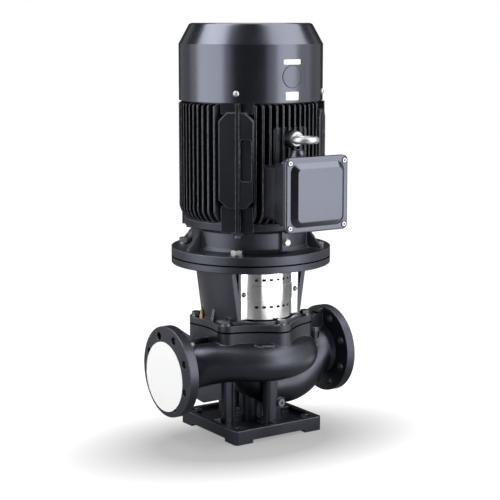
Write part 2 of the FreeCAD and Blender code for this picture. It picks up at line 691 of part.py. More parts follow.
def fan():
    """Cooling fan: hub, dished plate and straight blades."""
    hub = tube(34, FAN_BORE_R, FAN_Z0, FAN_Z1)
    dish = revolve([(33, FAN_Z1 - 12), (FAN_R, FAN_Z0 + 4), (FAN_R, FAN_Z0 + 8), (33, FAN_Z1 - 7)])
    vane = plate([(30, FAN_Z1 - 14), (FAN_R - 2, FAN_Z0 + 2), (FAN_R - 2, FAN_Z0 - 16), (60, FAN_Z0 - 16),
                  (30, FAN_Z0 + 8)], 4)
    return fuse(hub, dish, *around(vane, [360 / FAN_BLADES * i for i in range(FAN_BLADES)]))


def fan_clip():
    """Open ring that holds the fan on the shaft."""
    ring = tube(FAN_BORE_R + 5, FAN_BORE_R - 1.4, FAN_Z1 + 0.1, FAN_Z1 + 1.9)
    return ring.cut(block(0, 40, -4, 4, FAN_Z1 - 1, FAN_Z1 + 3))


def rotor_core():
    """Laminated rotor with its end rings."""
    radius = STATOR_BORE_R - AIR_GAP
    ends = [tube(radius - 4, 48, CORE_Z0 - 14, CORE_Z0), tube(radius - 4, 48, CORE_Z1, CORE_Z1 + 14)]
    return fuse(tube(radius, 31, CORE_Z0, CORE_Z1), *ends)


def slinger():
    """Rubber ring on the shaft that throws water off before the lower bearing."""
    return revolve([(SHAFT_END_R, 388), (36, 388), (40, 396), (34, 396), (30, 393), (SHAFT_END_R, 393)])


def bearing(z0):
    """Ball bearing as outer ring, inner ring and balls."""
    middle = (BEARING_BORE_R + BEARING_OUTER_R) / 2
    ball_r = (BEARING_OUTER_R - BEARING_BORE_R) * 0.29
    groove = Part.makeTorus(middle, ball_r + BALL_CLEARANCE, V(0, 0, z0 + BEARING_WIDTH / 2))
    outer = tube(BEARING_OUTER_R, middle + 4.5, z0, z0 + BEARING_WIDTH).cut(groove)
    inner = tube(middle - 4.5, BEARING_BORE_R, z0, z0 + BEARING_WIDTH).cut(groove)
    ball = Part.makeSphere(ball_r, V(middle, 0, z0 + BEARING_WIDTH / 2))
    return outer, inner, Part.makeCompound(around(ball, [360 / BALL_COUNT * i for i in range(BALL_COUNT)]))


def lantern_radius(z):
    """Outer radius of the lantern's cone at a height."""
    share = (z - 262) / (380 - 262)
    return LANTERN_FOOT_R + (LANTERN_HEAD_R - LANTERN_FOOT_R) * share


def lantern():
    """Lantern: lobed foot flange, open cone with two windows, and motor flange."""
    top = MOTOR_SEAM_Z
    under = top - LANTERN_FLANGE_THICK
    floor = SEAM_Z + LANTERN_FLOOR
    foot_r, head_r = lantern_radius(floor), lantern_radius(under - 7)
    outer = revolve([(0, floor - 2), (foot_r + 4, floor - 2), (foot_r + 4, floor), (foot_r, floor + 5),
                     (head_r, under - 7), (head_r + 7, under), (head_r + 7, top), (0, top)])
    inner = revolve([(0, floor - 1), (foot_r - LANTERN_WALL, floor - 1), (head_r - LANTERN_WALL, under - 11),
                     (head_r - LANTERN_WALL, top + 1), (0, top + 1)])
    jambs = [block(s * 69 - 11, s * 69 + 11, t * WINDOW_Y - 6 * t - 5.5, t * WINDOW_Y - 6 * t + 5.5,
                   floor - 1, under - 7) for s in (-1, 1) for t in (-1, 1)]
    shell = fuse(outer.cut(inner), *[j.common(outer) for j in jambs])
    windows = [block(-140, 140, WINDOW_Y, 160, WINDOW_Z0, WINDOW_Z1),
               block(-140, 140, -160, -WINDOW_Y, WINDOW_Z0, WINDOW_Z1)]
    shell = shell.cut(windows)
    flange = disc(MOTOR_FLANGE_R, under, top)
    rim = [e for e in flange.Edges if e.Length > MOTOR_FLANGE_R and hasattr(e.Curve, "Radius")]
    flange = flange.makeFillet(1.5, rim).cut(disc(head_r - LANTERN_WALL, under - 1, top + 1))
    foot = lobed_flange(SEAM_Z, floor)
    gusset = plate([(100, floor - 1), (WAIST_R + 3, floor - 1), (WAIST_R + 3, floor + 4),
                    (lantern_radius(floor + 30) - 1, floor + 30), (100, floor + 30)], 8)
    body = fuse(shell, flange, foot, *around(gusset, [LANTERN_GUSSET_TURN, LANTERN_GUSSET_TURN + 180]))
    recess = disc(SPIGOT_R + 0.1, top - SPIGOT_DEPTH, top + 1)
    bolt_r = LOBE_PCD / 2
    holes = around(disc(M12[0] + 0.7, SEAM_Z - 1, floor + 1, bolt_r), lobe_angles())
    holes += around(disc(M12[3] + 1, floor, floor + 14, bolt_r), lobe_angles())
    holes += around(disc(M16[0] + THREAD_GAP, under - 1, top + 1, MOTOR_PCD / 2), MOTOR_BOLT_ANGLES)
    holes += [rod(M6[0] + THREAD_GAP, (s * GUARD_SCREW_X, t * (WINDOW_Y - 13), GUARD_SCREW_Z),
                  (s * GUARD_SCREW_X, t * (WINDOW_Y + 1), GUARD_SCREW_Z)) for s in (-1, 1) for t in (-1, 1)]
    holes += [disc(VENT_THREAD_R + THREAD_GAP, floor - 10, floor + 1, *vent_spot()),
              disc(7.0, floor, floor + 24, *vent_spot()), disc(SEAL_BORE_R + 9.3, SEAM_Z - 1, floor + 4)]
    return cut(body, recess, *holes)


def vent_spot():
    """Middle of the vent on the lantern's foot."""
    return (VENT_R * math.cos(math.radians(VENT_ANGLE)), VENT_R * math.sin(math.radians(VENT_ANGLE)))


def vent_body():
    """Brass body of the vent, screwed into the lantern's foot."""
    floor = SEAM_Z + LANTERN_FLOOR
    x, y = vent_spot()
    body = fuse(hexagon(11, floor, floor + 9), disc(4.6, floor + 9, floor + 12), disc(VENT_THREAD_R, floor - 9, floor))
    return moved(body.cut(disc(VENT_SCREW_R + 0.05, floor - 4, floor + 13)), x, y, 0)


def vent_screw():
    """Vent screw with a knurled head and a slot."""
    seat = SEAM_Z + LANTERN_FLOOR + 12 + FACE_CLEARANCE
    head = disc(4.4, seat, seat + 5).cut(block(-5, 5, -0.7, 0.7, seat + 3.4, seat + 6))
    x, y = vent_spot()
    return moved(fuse(head, disc(VENT_SCREW_R, seat - 12, seat)), x, y, 0)


def guard_arc():
    """Radius and middle of the guard's bulge, from its width and depth."""
    rise = GUARD_BULGE_Y - WINDOW_Y - GUARD_THICK
    radius = (GUARD_BULGE_HALF ** 2 + rise ** 2) / (2 * rise)
    return radius, GUARD_BULGE_Y - radius


def guard():
    """Stainless window guard on the -Y side: two ears and a slotted bulge."""
    radius, middle = guard_arc()
    z0, z1 = GUARD_Z0, GUARD_Z1
    wall = disc(radius, z0, z1, 0, -middle).cut(disc(radius - GUARD_THICK, z0 - 1, z1 + 1, 0, -middle))
    swage = disc(radius + GUARD_SWAGE, GUARD_SWAGE_Z0, GUARD_SWAGE_Z1, 0, -middle)
    swage = swage.cut(disc(radius - GUARD_THICK / 2, z0, z1, 0, -middle))
    front = block(-GUARD_BULGE_HALF + 6, GUARD_BULGE_HALF - 6, -200, -WINDOW_Y - 4, z0, z1)
    wall = wall.common(block(-200, 200, -200, -WINDOW_Y, z0, z1)).fuse(swage.common(front))
    inner_half = GUARD_BULGE_HALF - 1
    ears = [block(min(s * inner_half, s * GUARD_HALF_WIDTH), max(s * inner_half, s * GUARD_HALF_WIDTH),
                  -WINDOW_Y - GUARD_THICK, -WINDOW_Y, z0, z1) for s in (-1, 1)]
    body = fuse(wall, *ears)
    slots = []
    for z in GUARD_SLOT_ROWS:
        for i in range(GUARD_SLOT_COUNT):
            angle = math.degrees(GUARD_SLOT_PITCH / radius) * (i - (GUARD_SLOT_COUNT - 1) / 2)
            slot = block(-GUARD_SLOT_WIDTH / 2, GUARD_SLOT_WIDTH / 2, -radius - 2, -radius + 4,
                         z - GUARD_SLOT_HEIGHT / 2, z + GUARD_SLOT_HEIGHT / 2)
            slots.append(moved(turned(slot, angle), 0, -middle, 0))
    holes = [rod(M6[0] + 0.4, (s * GUARD_SCREW_X, -WINDOW_Y - 3, GUARD_SCREW_Z),
                 (s * GUARD_SCREW_X, -WINDOW_Y + 3, GUARD_SCREW_Z)) for s in (-1, 1)]
    return cut(body, *slots, *holes)


def guard_screws():
    """Round-headed screws of both guards."""
    head = Part.makeSphere(6.5, V(0, 0, -2.5)).common(disc(7, 0, 6))
    screw = fuse(head, disc(M6[0], -12, 0)).cut(block(-0.6, 0.6, -7, 7, 2.4, 6))
    front = [facing_front(screw, s * GUARD_SCREW_X, -WINDOW_Y - GUARD_THICK, GUARD_SCREW_Z) for s in (-1, 1)]
    return Part.makeCompound(front + around(Part.makeCompound(front), [180]))


def bolt_circle(shape, pcd, angles, z):
    """Copies of an upright fastener on a bolt circle, seats at a height."""
    return Part.makeCompound(around(moved(shape, pcd / 2, 0, z), angles))


def drive_end_shield():
    """Lower end shield: motor flange with spigot, ribbed neck and lower bearing seat."""
    seam = MOTOR_SEAM_Z
    top = seam + MOTOR_FLANGE_THICK
    low = LOWER_BEARING_Z
    outer = revolve([(60, seam), (60, seam - SPIGOT_DEPTH + 0.5), (SPIGOT_R, seam - SPIGOT_DEPTH + 0.5),
                     (SPIGOT_R, seam), (MOTOR_FLANGE_R, seam), (MOTOR_FLANGE_R, top), (NECK_R + 10, top),
                     (NECK_R + 4, top + 3), (NECK_R, top + 9), (NECK_R, FRAME_Z - 6), (NECK_R + 6, FRAME_Z),
                     (FRAME_BORE_R - 0.1, FRAME_Z), (FRAME_BORE_R - 0.1, FRAME_Z + 6),
                     (FRAME_BORE_R - 8, FRAME_Z + 6), (NECK_R - 12, FRAME_Z - 10), (NECK_R - 12, top),
                     (BEARING_OUTER_R + 12, top - 6), (BEARING_OUTER_R + 10, low + BEARING_WIDTH),
                     (BEARING_OUTER_R, low + BEARING_WIDTH), (BEARING_OUTER_R, low), (44, low), (44, seam)])
    gusset = plate([(NECK_R - 5, top - 1), (MOTOR_FLANGE_R - 13, top - 1), (MOTOR_FLANGE_R - 13, top + 4),
                    (NECK_R + 2, FRAME_Z - 5), (NECK_R - 5, FRAME_Z - 5)], 9)
    gussets = around(gusset, [0, 180, 128, 308])
    earth = block(-11, 7, -EARTH_SEAT_Y, -NECK_R + 5, top + 4, FRAME_Z - 2)
    lugs = around(block(NECK_R - 4, BOSS_R - 2, -12, 12, FRAME_Z - LUG_THICK, FRAME_Z), MOTOR_BOLT_ANGLES)
    body = fuse(outer, *gussets, earth, *lugs)
    holes = around(disc(M16[0] + 1, seam - 2, top + 2, MOTOR_PCD / 2), MOTOR_BOLT_ANGLES)
    holes += around(disc(M16[3] + 1.5, top, top + 24, MOTOR_PCD / 2), MOTOR_BOLT_ANGLES)
    holes += around(disc(SHIELD_BOLT[0] + THREAD_GAP, FRAME_Z - 17, FRAME_Z + 1, SHIELD_BOLT_R), MOTOR_BOLT_ANGLES)
    holes.append(rod(SHIELD_BOLT[0] + THREAD_GAP, (EARTH_X, -EARTH_SEAT_Y - 1, EARTH_Z),
                     (EARTH_X, -EARTH_SEAT_Y + 16, EARTH_Z)))
    return cut(body, *holes)


def earth_screw():
    """Earthing screw with its washer on the lower end shield."""
    screw = fuse(nut_head(SHIELD_BOLT), disc(SHIELD_BOLT[3], -2, 0), disc(SHIELD_BOLT[0], -16, -2))
    return facing_front(screw, EARTH_X, -EARTH_SEAT_Y - 2, EARTH_Z)


def fin_group(count, direction, before=0, after=0):
    """Parallel cooling fins that point along one direction, with more of them on one side."""
    fins = []
    for i in range(-before, count + after):
        offset = (i - (count - 1) / 2) * FIN_PITCH
        fins.append(turned(block(FRAME_ROOT_R * 0.6, FIN_TIP_R + 4, offset - FIN_THICK / 2,
                                 offset + FIN_THICK / 2, FRAME_RING_TOP_Z - 12, FIN_TOP_Z), direction))
    return fins


def fin_envelope():
    """Space that the fins fill: round tips, and foot ends that curve into the ring."""
    arc_top = FRAME_RING_TOP_Z + 34
    edges = [Part.LineSegment(V(FRAME_BORE_R + 3, 0, FRAME_Z + 10), V(FRAME_RING_R - 3, 0, FRAME_Z + 10)).toShape(),
             Part.LineSegment(V(FRAME_RING_R - 3, 0, FRAME_Z + 10), V(FRAME_RING_R - 3, 0, FRAME_RING_TOP_Z)).toShape(),
             Part.Arc(V(FRAME_RING_R - 3, 0, FRAME_RING_TOP_Z), V(FIN_TIP_R - 2.6, 0, FRAME_RING_TOP_Z + 14),
                      V(FIN_TIP_R, 0, arc_top)).toShape(),
             Part.LineSegment(V(FIN_TIP_R, 0, arc_top), V(FIN_TIP_R, 0, FIN_TOP_Z - 4)).toShape(),
             Part.LineSegment(V(FIN_TIP_R, 0, FIN_TOP_Z - 4), V(FIN_TIP_R - 6, 0, FIN_TOP_Z)).toShape(),
             Part.LineSegment(V(FIN_TIP_R - 6, 0, FIN_TOP_Z), V(FRAME_BORE_R + 3, 0, FIN_TOP_Z)).toShape(),
             Part.LineSegment(V(FRAME_BORE_R + 3, 0, FIN_TOP_Z), V(FRAME_BORE_R + 3, 0, FRAME_Z + 10)).toShape()]
    return Part.Face(Part.Wire(edges)).revolve(V(0, 0, 0), V(0, 0, 1), 360)


def corner_pad():
    """Cast mounting pad of the frame on the +X side, later turned to a diagonal."""
    w, c, z0, z1 = PAD_HALF_WIDTH, PAD_CHAMFER, PAD_Z0, PAD_Z1
    outline = [(-w, z0 + c), (-w + c, z0), (w - c, z0), (w, z0 + c), (w, z1 - c), (w - c, z1), (-w + c, z1),
               (-w, z1 - c)]
    wire = Part.makePolygon([V(FRAME_BORE_R + 4, u, z) for u, z in outline + outline[:1]])
    pad = Part.Face(wire).extrude(V(PAD_FACE_R - FRAME_BORE_R - 4, 0, 0))
    front = [e for e in pad.Edges if e.CenterOfMass.x > PAD_FACE_R - 0.1]
    pad = pad.makeChamfer(2.0, front)
    pocket = rounded_recess(8.5, w - 5, z0 + 58, z1 - 56, PAD_FACE_R - 6, 6)
    ridge = block(FRAME_ROOT_R - 4, PAD_FACE_R + 2.5, -1, 7, FRAME_Z, COVER_Z0 - 1)
    return cut(fuse(pad, ridge), pocket)


def rounded_recess(y0, y1, z0, z1, x0, radius):
    """Tool for a recess with rounded corners in a pad's face."""
    tool = block(x0, x0 + 20, y0, y1, z0, z1)
    return tool.makeFillet(radius, [e for e in tool.Edges if abs(e.tangentAt(e.FirstParameter).x) > 0.9])


def motor_frame():
    """Finned motor frame with its pads, bolt bosses, terminal seat and eye bolt boss."""
    shell = disc(FRAME_ROOT_R, FRAME_Z, FRAME_TOP_Z)
    ring = revolve([(0, FRAME_Z), (FRAME_RING_R - 2, FRAME_Z), (FRAME_RING_R, FRAME_Z + 3),
                    (FRAME_RING_R, FRAME_RING_TOP_Z - 3), (FRAME_RING_R - 3, FRAME_RING_TOP_Z),
                    (0, FRAME_RING_TOP_Z)])
    top_ring = disc(FRAME_ROOT_R + 8, FIN_TOP_Z - 6, FRAME_TOP_Z)
    fins = fin_group(SIDE_FIN_COUNT, 0, after=REAR_FIN_COUNT) + fin_group(SIDE_FIN_COUNT, 180, before=REAR_FIN_COUNT)
    fins += fin_group(FRONT_FIN_COUNT, 90) + fin_group(FRONT_FIN_COUNT, 270)
    fins = Part.makeCompound(fins).common(fin_envelope())
    bosses = [block(FRAME_ROOT_R - 6, BOSS_R, -BOSS_HALF_WIDTH, BOSS_HALF_WIDTH, z0, z1)
              for z0, z1 in ((FRAME_Z, PAD_Z0 + 4), (PAD_Z1 - 4, FRAME_TOP_Z))]
    corners = [turned(boss, angle) for angle in MOTOR_BOLT_ANGLES for boss in bosses]
    corners += around(corner_pad(), PAD_ANGLES)
    seat = block(-SEAT_HALF_WIDTH, SEAT_HALF_WIDTH, BOX_BACK_Y, -FRAME_ROOT_R + 20, BOX_Z0, BOX_Z1 - 6)
    seat = seat.makeFillet(8, [e for e in seat.Edges if abs(e.tangentAt(e.FirstParameter).y) > 0.9])
    pad = block(-42, 42, -150, -FRAME_ROOT_R + 20, BOX_Z1 - 8, EYE_Z + 23)
    pad = pad.makeFillet(7, [e for e in pad.Edges if abs(e.tangentAt(e.FirstParameter).y) > 0.9])
    eye_boss = Part.makeCone(22, 17, -EYE_SEAT_Y - 145, V(0, -145, EYE_Z), V(0, -1, 0))
    body = fuse(shell, ring, top_ring, *corners, seat, pad, eye_boss)
    body = body.fuse(fins.Solids)
    cable_way = block(-34, 34, BOX_BACK_Y - 1, -100, BOX_Z0 + 36, BOX_Z1 - 40)
    holes = [disc(FRAME_BORE_R, FRAME_Z - 1, FRAME_TOP_Z + 1), cable_way,
             rod(M12[0] + THREAD_GAP, (0, EYE_SEAT_Y - 1, EYE_Z), (0, EYE_SEAT_Y + 24, EYE_Z))]
    holes += around(disc(SHIELD_BOLT[0] + THREAD_GAP, FRAME_Z - 1, FRAME_Z + 30, SHIELD_BOLT_R), MOTOR_BOLT_ANGLES)
    holes += around(disc(SHIELD_BOLT[0] + THREAD_GAP, FRAME_TOP_Z - 26, FRAME_TOP_Z + 1, SHIELD_BOLT_R), MOTOR_BOLT_ANGLES)
    holes += [rod(3 + THREAD_GAP, (s * BOX_SCREW_X, BOX_BACK_Y - 1, z), (s * BOX_SCREW_X, BOX_BACK_Y + 12, z))
              for s in (-1, 1) for z in BOX_SCREW_Z]
    return cut(body, *holes)


def end_shield_bolts():
    """Bolts that hold both end shields to the frame, heads outside."""
    bolt = hex_bolt(SHIELD_BOLT, 32)
    low = bolt.copy()
    low.rotate(V(0, 0, 0), V(1, 0, 0), 180)
    pair = [moved(low, SHIELD_BOLT_R, 0, FRAME_Z - LUG_THICK), moved(bolt, SHIELD_BOLT_R, 0, FRAME_TOP_Z + 12)]
    return Part.makeCompound([s for p in pair for s in around(p, MOTOR_BOLT_ANGLES)])


def rear_end_shield():
    """Upper end shield with the upper bearing seat and the fan cover's lugs."""
    z0, high = FRAME_TOP_Z, UPPER_BEARING_Z
    body = revolve([(44, z0 - 12), (BEARING_OUTER_R + 11, z0 - 12), (BEARING_OUTER_R + 16, z0),
                    (FRAME_BORE_R - 12, z0 + 2), (FRAME_BORE_R - 12, z0 - 6), (FRAME_BORE_R - 0.1, z0 - 6),
                    (FRAME_BORE_R - 0.1, z0), (144, z0), (144, z0 + 9), (FRAME_BORE_R - 12, z0 + 12),
                    (BEARING_OUTER_R + 14, z0 + 12), (BEARING_OUTER_R + 10, high + BEARING_WIDTH + 4),
                    (BEARING_OUTER_R, high + BEARING_WIDTH + 4), (BEARING_OUTER_R, high - 4), (44, high - 4)])
    lugs = []
    inner = COVER_R - COVER_SHEET
    for angle in MOTOR_BOLT_ANGLES:
        lugs.append(turned(block(140, inner, -8, 8, z0, COVER_SCREW_Z + 8), angle))
        lugs.append(turned(block(128, BOSS_R, -14, 14, z0, z0 + 12), angle))
    lugs = [lug.common(disc(inner, z0, COVER_SCREW_Z + 8)) for lug in lugs]
    body = fuse(body, *lugs)
    holes = around(disc(SHIELD_BOLT[0] + 0.5, z0 - 1, z0 + 30, SHIELD_BOLT_R), MOTOR_BOLT_ANGLES)
    holes += around(disc(9.5, z0 + 12, z0 + 30, SHIELD_BOLT_R), MOTOR_BOLT_ANGLES)
    holes += [turned(rod(3 + THREAD_GAP, (inner - 12, 0, COVER_SCREW_Z), (inner + 1, 0, COVER_SCREW_Z)),
                     angle) for angle in MOTOR_BOLT_ANGLES]
    return cut(body, *holes)


def cover_profile(offset):
    """Side of the fan cover as (radius, height) points, inset by an offset."""
    slope = math.atan2(COVER_TOP_Z - COVER_CREASE_Z, COVER_R - COVER_TOP_R)
    shift = offset * math.tan((math.pi / 2 - slope) / 2)
    top = COVER_TOP_Z - offset
    return [(COVER_R - offset, COVER_CREASE_Z - shift * 0.5),
            (COVER_TOP_R - offset + 2.6, top - 5.5), (COVER_TOP_R - offset + 0.6, top - 2.2),
            (COVER_TOP_R - offset - 4.5, top)]


def fan_cover():
    """Pressed fan cover: straight skirt, tapered shoulder and slotted crown."""
    outer = revolve([(0, COVER_Z0), (COVER_R, COVER_Z0)] + cover_profile(0) + [(0, COVER_TOP_Z)])
    inner = revolve([(0, COVER_Z0 - 1), (COVER_R - COVER_SHEET, COVER_Z0 - 1)] + cover_profile(COVER_SHEET)
                    + [(0, COVER_TOP_Z - COVER_SHEET)])
    body = outer.cut(inner)
    slots = []
    for ring_index in range(5):
        mid = 38 + 19 * ring_index
        slot = tube(mid + 4.5, mid - 4.5, COVER_TOP_Z - 6, COVER_TOP_Z + 1)
        slots.append(slot)
    spokes = around(block(0, 200, -5, 5, COVER_TOP_Z - 7, COVER_TOP_Z + 2), [30 + 60 * i for i in range(6)])
    body = body.cut([slot.cut(spokes) for slot in slots])
    screws = [turned(rod(3.3, (COVER_R - 8, 0, COVER_SCREW_Z), (COVER_R + 2, 0, COVER_SCREW_Z)),
                     angle) for angle in MOTOR_BOLT_ANGLES]
    plug_hole = rod(COVER_PLUG_R, (0, -COVER_R + 10, COVER_PLUG_Z), (0, -COVER_R - 2, COVER_PLUG_Z))
    return cut(body, plug_hole, *screws)


def fan_cover_screws():
    """Screws of the fan cover."""
    head = Part.makeSphere(7.5, V(0, 0, -3.5)).common(disc(8, 0, 5))
    screw = fuse(head, disc(3, -6.5, 0)).cut(block(-0.7, 0.7, -8, 8, 2.4, 6))
    screw.rotate(V(0, 0, 0), V(0, 1, 0), 90)
    return Part.makeCompound([turned(moved(screw, COVER_R + 0.3, 0, COVER_SCREW_Z), angle)
                              for angle in MOTOR_BOLT_ANGLES])


def cover_plug():
    """Round plastic plug that closes the greasing hole in the fan cover."""
    inner = COVER_R - COVER_SHEET

    def layer(radius, near, far):
        pin = rod(radius, (0, -COVER_R + 12, COVER_PLUG_Z), (0, -COVER_R - 6, COVER_PLUG_Z))
        return pin.common(tube(far, near, COVER_Z0, COVER_CREASE_Z))

    face = layer(COVER_PLUG_R - PLUG_GAP, inner - 0.5, COVER_R + 0.4)
    flange = layer(COVER_PLUG_R + 4, inner - 1.8, inner - 0.05)
    return fuse(face, flange)


def stator_core():
    """Laminated stator pressed into the frame."""
    return tube(FRAME_BORE_R, STATOR_BORE_R, CORE_Z0, CORE_Z1)


def winding(z0, z1):
    """End turns of the winding on one side of the stator."""
    mid = (STATOR_BORE_R + FRAME_BORE_R) / 2
    body = tube(mid + 16, mid - 14, z0, z1)
    return body.makeFillet(6, [e for e in body.Edges if hasattr(e.Curve, "Radius") and e.Length > 300
                               and abs(e.CenterOfMass.z - (z0 if z0 < CORE_Z0 - 1 else z1)) < 0.1])


def preload_washer():
    """Wave washer behind the upper bearing."""
    return tube(BEARING_OUTER_R - 1, BEARING_OUTER_R - 9, UPPER_BEARING_Z - 4, UPPER_BEARING_Z - 0.5)


def lid_screw_spots():
    """Places of the lid's screws about the lid's middle, as (x, height) pairs."""
    return [(sx * LID_SCREW_X, sz * LID_SCREW_DZ) for sx in (-1, 1) for sz in (-1, 1)]


def rounded_wire(half_x, half_y, z, radius, y_mid=0.0):
    """Rounded rectangle as a closed wire at a height."""
    slab = moved(rounded_slab(half_x, half_y, z, z + 1, radius), 0, y_mid, 0)
    return [face for face in slab.Faces if abs(face.CenterOfMass.z - z) < 0.01][0].OuterWire


def tapered_block(near, far):
    """Solid between two rounded rectangles, each (half x, half y, height, corner, middle)."""
    return Part.makeLoft([rounded_wire(*near), rounded_wire(*far)], True, True)


def box_body(inset, z0, z1):
    """Drafted block of the terminal box, drawn in by an inset, between two depths."""
    depth = BOX_BACK_Y - BOX_FRONT_Y
    mid = (BOX_Z0 + BOX_Z1) / 2 - (LID_Z0 + LID_Z1) / 2
    half = (BOX_Z1 - BOX_Z0) / 2

    def ring(z):
        grow = BOX_DRAFT * z / depth - inset
        drift = mid * (1 - z / depth)
        return BOX_HALF_WIDTH + grow, half + grow + BOX_RIM_EXTRA * z / depth, z, 10 - inset / 2, -drift

    return tapered_block(ring(z0), ring(z1))


def terminal_box():
    """Terminal box: drafted open box with posts for the lid's screws and a cable entry on top."""
    lid_mid = (LID_Z0 + LID_Z1) / 2
    depth = BOX_BACK_Y - BOX_FRONT_Y
    outer = box_body(0, 0, depth)
    posts = Part.makeCompound([disc(POST_R, 4, depth, x, z) for x, z in lid_screw_spots()]).common(outer)
    body = fuse(outer.cut(box_body(BOX_WALL, 5, depth + 0.5)), *posts.Solids)
    holes = [disc(LID_SCREW_R + THREAD_GAP, depth - 16, depth + 1, x, z) for x, z in lid_screw_spots()]
    holes.append(block(-26, 26, -22, 22, -1, 6))
    holes += [disc(3.4, -1, 6, s * BOX_SCREW_X, lid_mid - z) for s in (-1, 1) for z in BOX_SCREW_Z]
    body = facing_front(cut(body, *holes), 0, BOX_BACK_Y, lid_mid)
    seat = BOX_Z1 + PLUG_SEAT_RISE
    boss = disc(20, seat - 10, seat + 12, PLUG_ENTRY_X, PLUG_ENTRY_Y)
    body = fuse(body, boss.common(facing_front(outer, 0, BOX_BACK_Y, lid_mid)))
    return cut(body, disc(18, seat, seat + 20, PLUG_ENTRY_X, PLUG_ENTRY_Y),
               disc(PLUG_ENTRY_R + THREAD_GAP, seat - 20, seat + 1, PLUG_ENTRY_X, PLUG_ENTRY_Y))


def box_gasket():
    """Flat gasket between the terminal box and its lid."""
    holes = [disc(LID_SCREW_R + 0.5, -1, GASKET_THICK + 1, x, z) for x, z in lid_screw_spots()]
    depth = BOX_BACK_Y - BOX_FRONT_Y
    posts = [disc(POST_R, depth - 2, depth, x, z) for x, z in lid_screw_spots()]
    inner = box_body(BOX_WALL, depth - GASKET_THICK - 1, depth + 0.5).cut(posts)
    ring = box_body(0, depth - GASKET_THICK, depth).cut(inner)
    ring = ring.cut([moved(hole, 0, 0, depth - GASKET_THICK) for hole in holes])
    return facing_front(ring, 0, BOX_BACK_Y - GASKET_THICK, (LID_Z0 + LID_Z1) / 2)


def terminal_lid():
    """Lid of the terminal box: rimmed plate with a raised pillow and screw wells."""
    half_z = (LID_Z1 - LID_Z0) / 2
    seat = BOX_FRONT_Y - GASKET_THICK
    deep = seat - LID_FRONT_Y
    rise = seat - LID_PILLOW_Y
    rim = rounded_slab(LID_HALF_WIDTH, half_z, 0, deep, 11)
    rim = rim.makeFillet(3.5, [e for e in rim.Edges if e.CenterOfMass.z > deep - 0.1])
    base = (PILLOW_HALF_X, PILLOW_HALF_Z, deep - 0.5, 20)
    crown = (PILLOW_HALF_X - PILLOW_TAPER, PILLOW_HALF_Z - PILLOW_TAPER, rise, 10)
    pillow = tapered_block(base, crown)
    pillow = pillow.makeFillet(2.5, [e for e in pillow.Edges if e.CenterOfMass.z > rise - 0.1])
    body = fuse(rim, pillow).cut(rounded_slab(54, 52, -1, rise - 3, 10))
    tools = []
    for x, z in lid_screw_spots():
        tools += [disc(LID_SCREW_R + 0.5, -1, deep + 1, x, z), disc(6.6, deep - 3, deep + 1, x, z)]
    return facing_front(cut(body, *tools), 0, seat, (LID_Z0 + LID_Z1) / 2)


def lid_screws():
    """Screws of the terminal lid, set in wells."""
    screw = socket_screw(LID_SCREW_R, 5.0, 4.5, 22, 4.0)
    mid = (LID_Z0 + LID_Z1) / 2
    return Part.makeCompound([facing_front(screw, x, LID_FRONT_Y + 3, mid + z) for x, z in lid_screw_spots()])


def terminal_board():
    """Insulating board that carries the terminals."""
    board = rounded_slab(32, 26, 5, 13, 4)
    mid = (BOX_Z0 + BOX_Z1) / 2
    holes = [disc(3 + THREAD_GAP, 4, 14, x, z) for x, z in stud_spots()]
    return facing_front(board.cut(holes), 0, BOX_BACK_Y, mid)


def stud_spots():
    """Places of the six terminals on the board."""
    return [(x, z) for x in (-20, 0, 20) for z in (-13, 13)]


def terminal_studs():
    """Six brass terminal studs with their nuts."""
    mid = (BOX_Z0 + BOX_Z1) / 2
    stud = fuse(disc(3, 6, 30), hexagon(10, 13, 18), hexagon(10, 20, 24))
    return Part.makeCompound([facing_front(stud, x, BOX_BACK_Y, mid + z) for x, z in stud_spots()])


def cable_plug():
    """Domed hexagon plug in the unused cable entry on top of the box."""
    z = BOX_Z1 + PLUG_SEAT_RISE
    dome = revolve([(0, 12), (15.5, 12), (15.5, 18), (12.5, 24), (7, 26), (0, 26)])
    body = fuse(hexagon(30, 0, 9), moved(dome, 0, 0, -3), disc(PLUG_ENTRY_R, -9, 0))
    return moved(body, PLUG_ENTRY_X, PLUG_ENTRY_Y, z)


def eye_bolt():
    """Lifting eye bolt, its ring lying level."""
    reach = EYE_RING_R + EYE_BAR_R + 5.5
    ring = Part.makeTorus(EYE_RING_R, EYE_BAR_R, V(0, EYE_SEAT_Y - reach, EYE_Z))
    collar = rod(15, (0, EYE_SEAT_Y, EYE_Z), (0, EYE_SEAT_Y - 6, EYE_Z))
    neck = Part.makeCone(11, 8, 6, V(0, EYE_SEAT_Y - 6, EYE_Z), V(0, -1, 0))
    thread = rod(M12[0], (0, EYE_SEAT_Y, EYE_Z), (0, EYE_SEAT_Y + 22, EYE_Z))
    hole = disc(EYE_RING_R - EYE_BAR_R, EYE_Z - 20, EYE_Z + 20, 0, EYE_SEAT_Y - reach)
    return fuse(ring, cut(fuse(collar, neck, thread), hole))


def drain_plug():
    """Socket plug in the drain boss."""
    plug = socket_screw(PLUG_R, 8.5, 6, 14, 6.0)
    return facing_front(plug, DRAIN_X, DRAIN_Y, DRAIN_Z)


def gauge_plugs():
    """Hexagon plugs of the two gauge connections."""
    plug = hex_bolt((PLUG_R, 17.0, 7.0, 9.0), 16)
    return Part.makeCompound([moved(plug, x, y, z) for x, y, z in gauge_spots()])


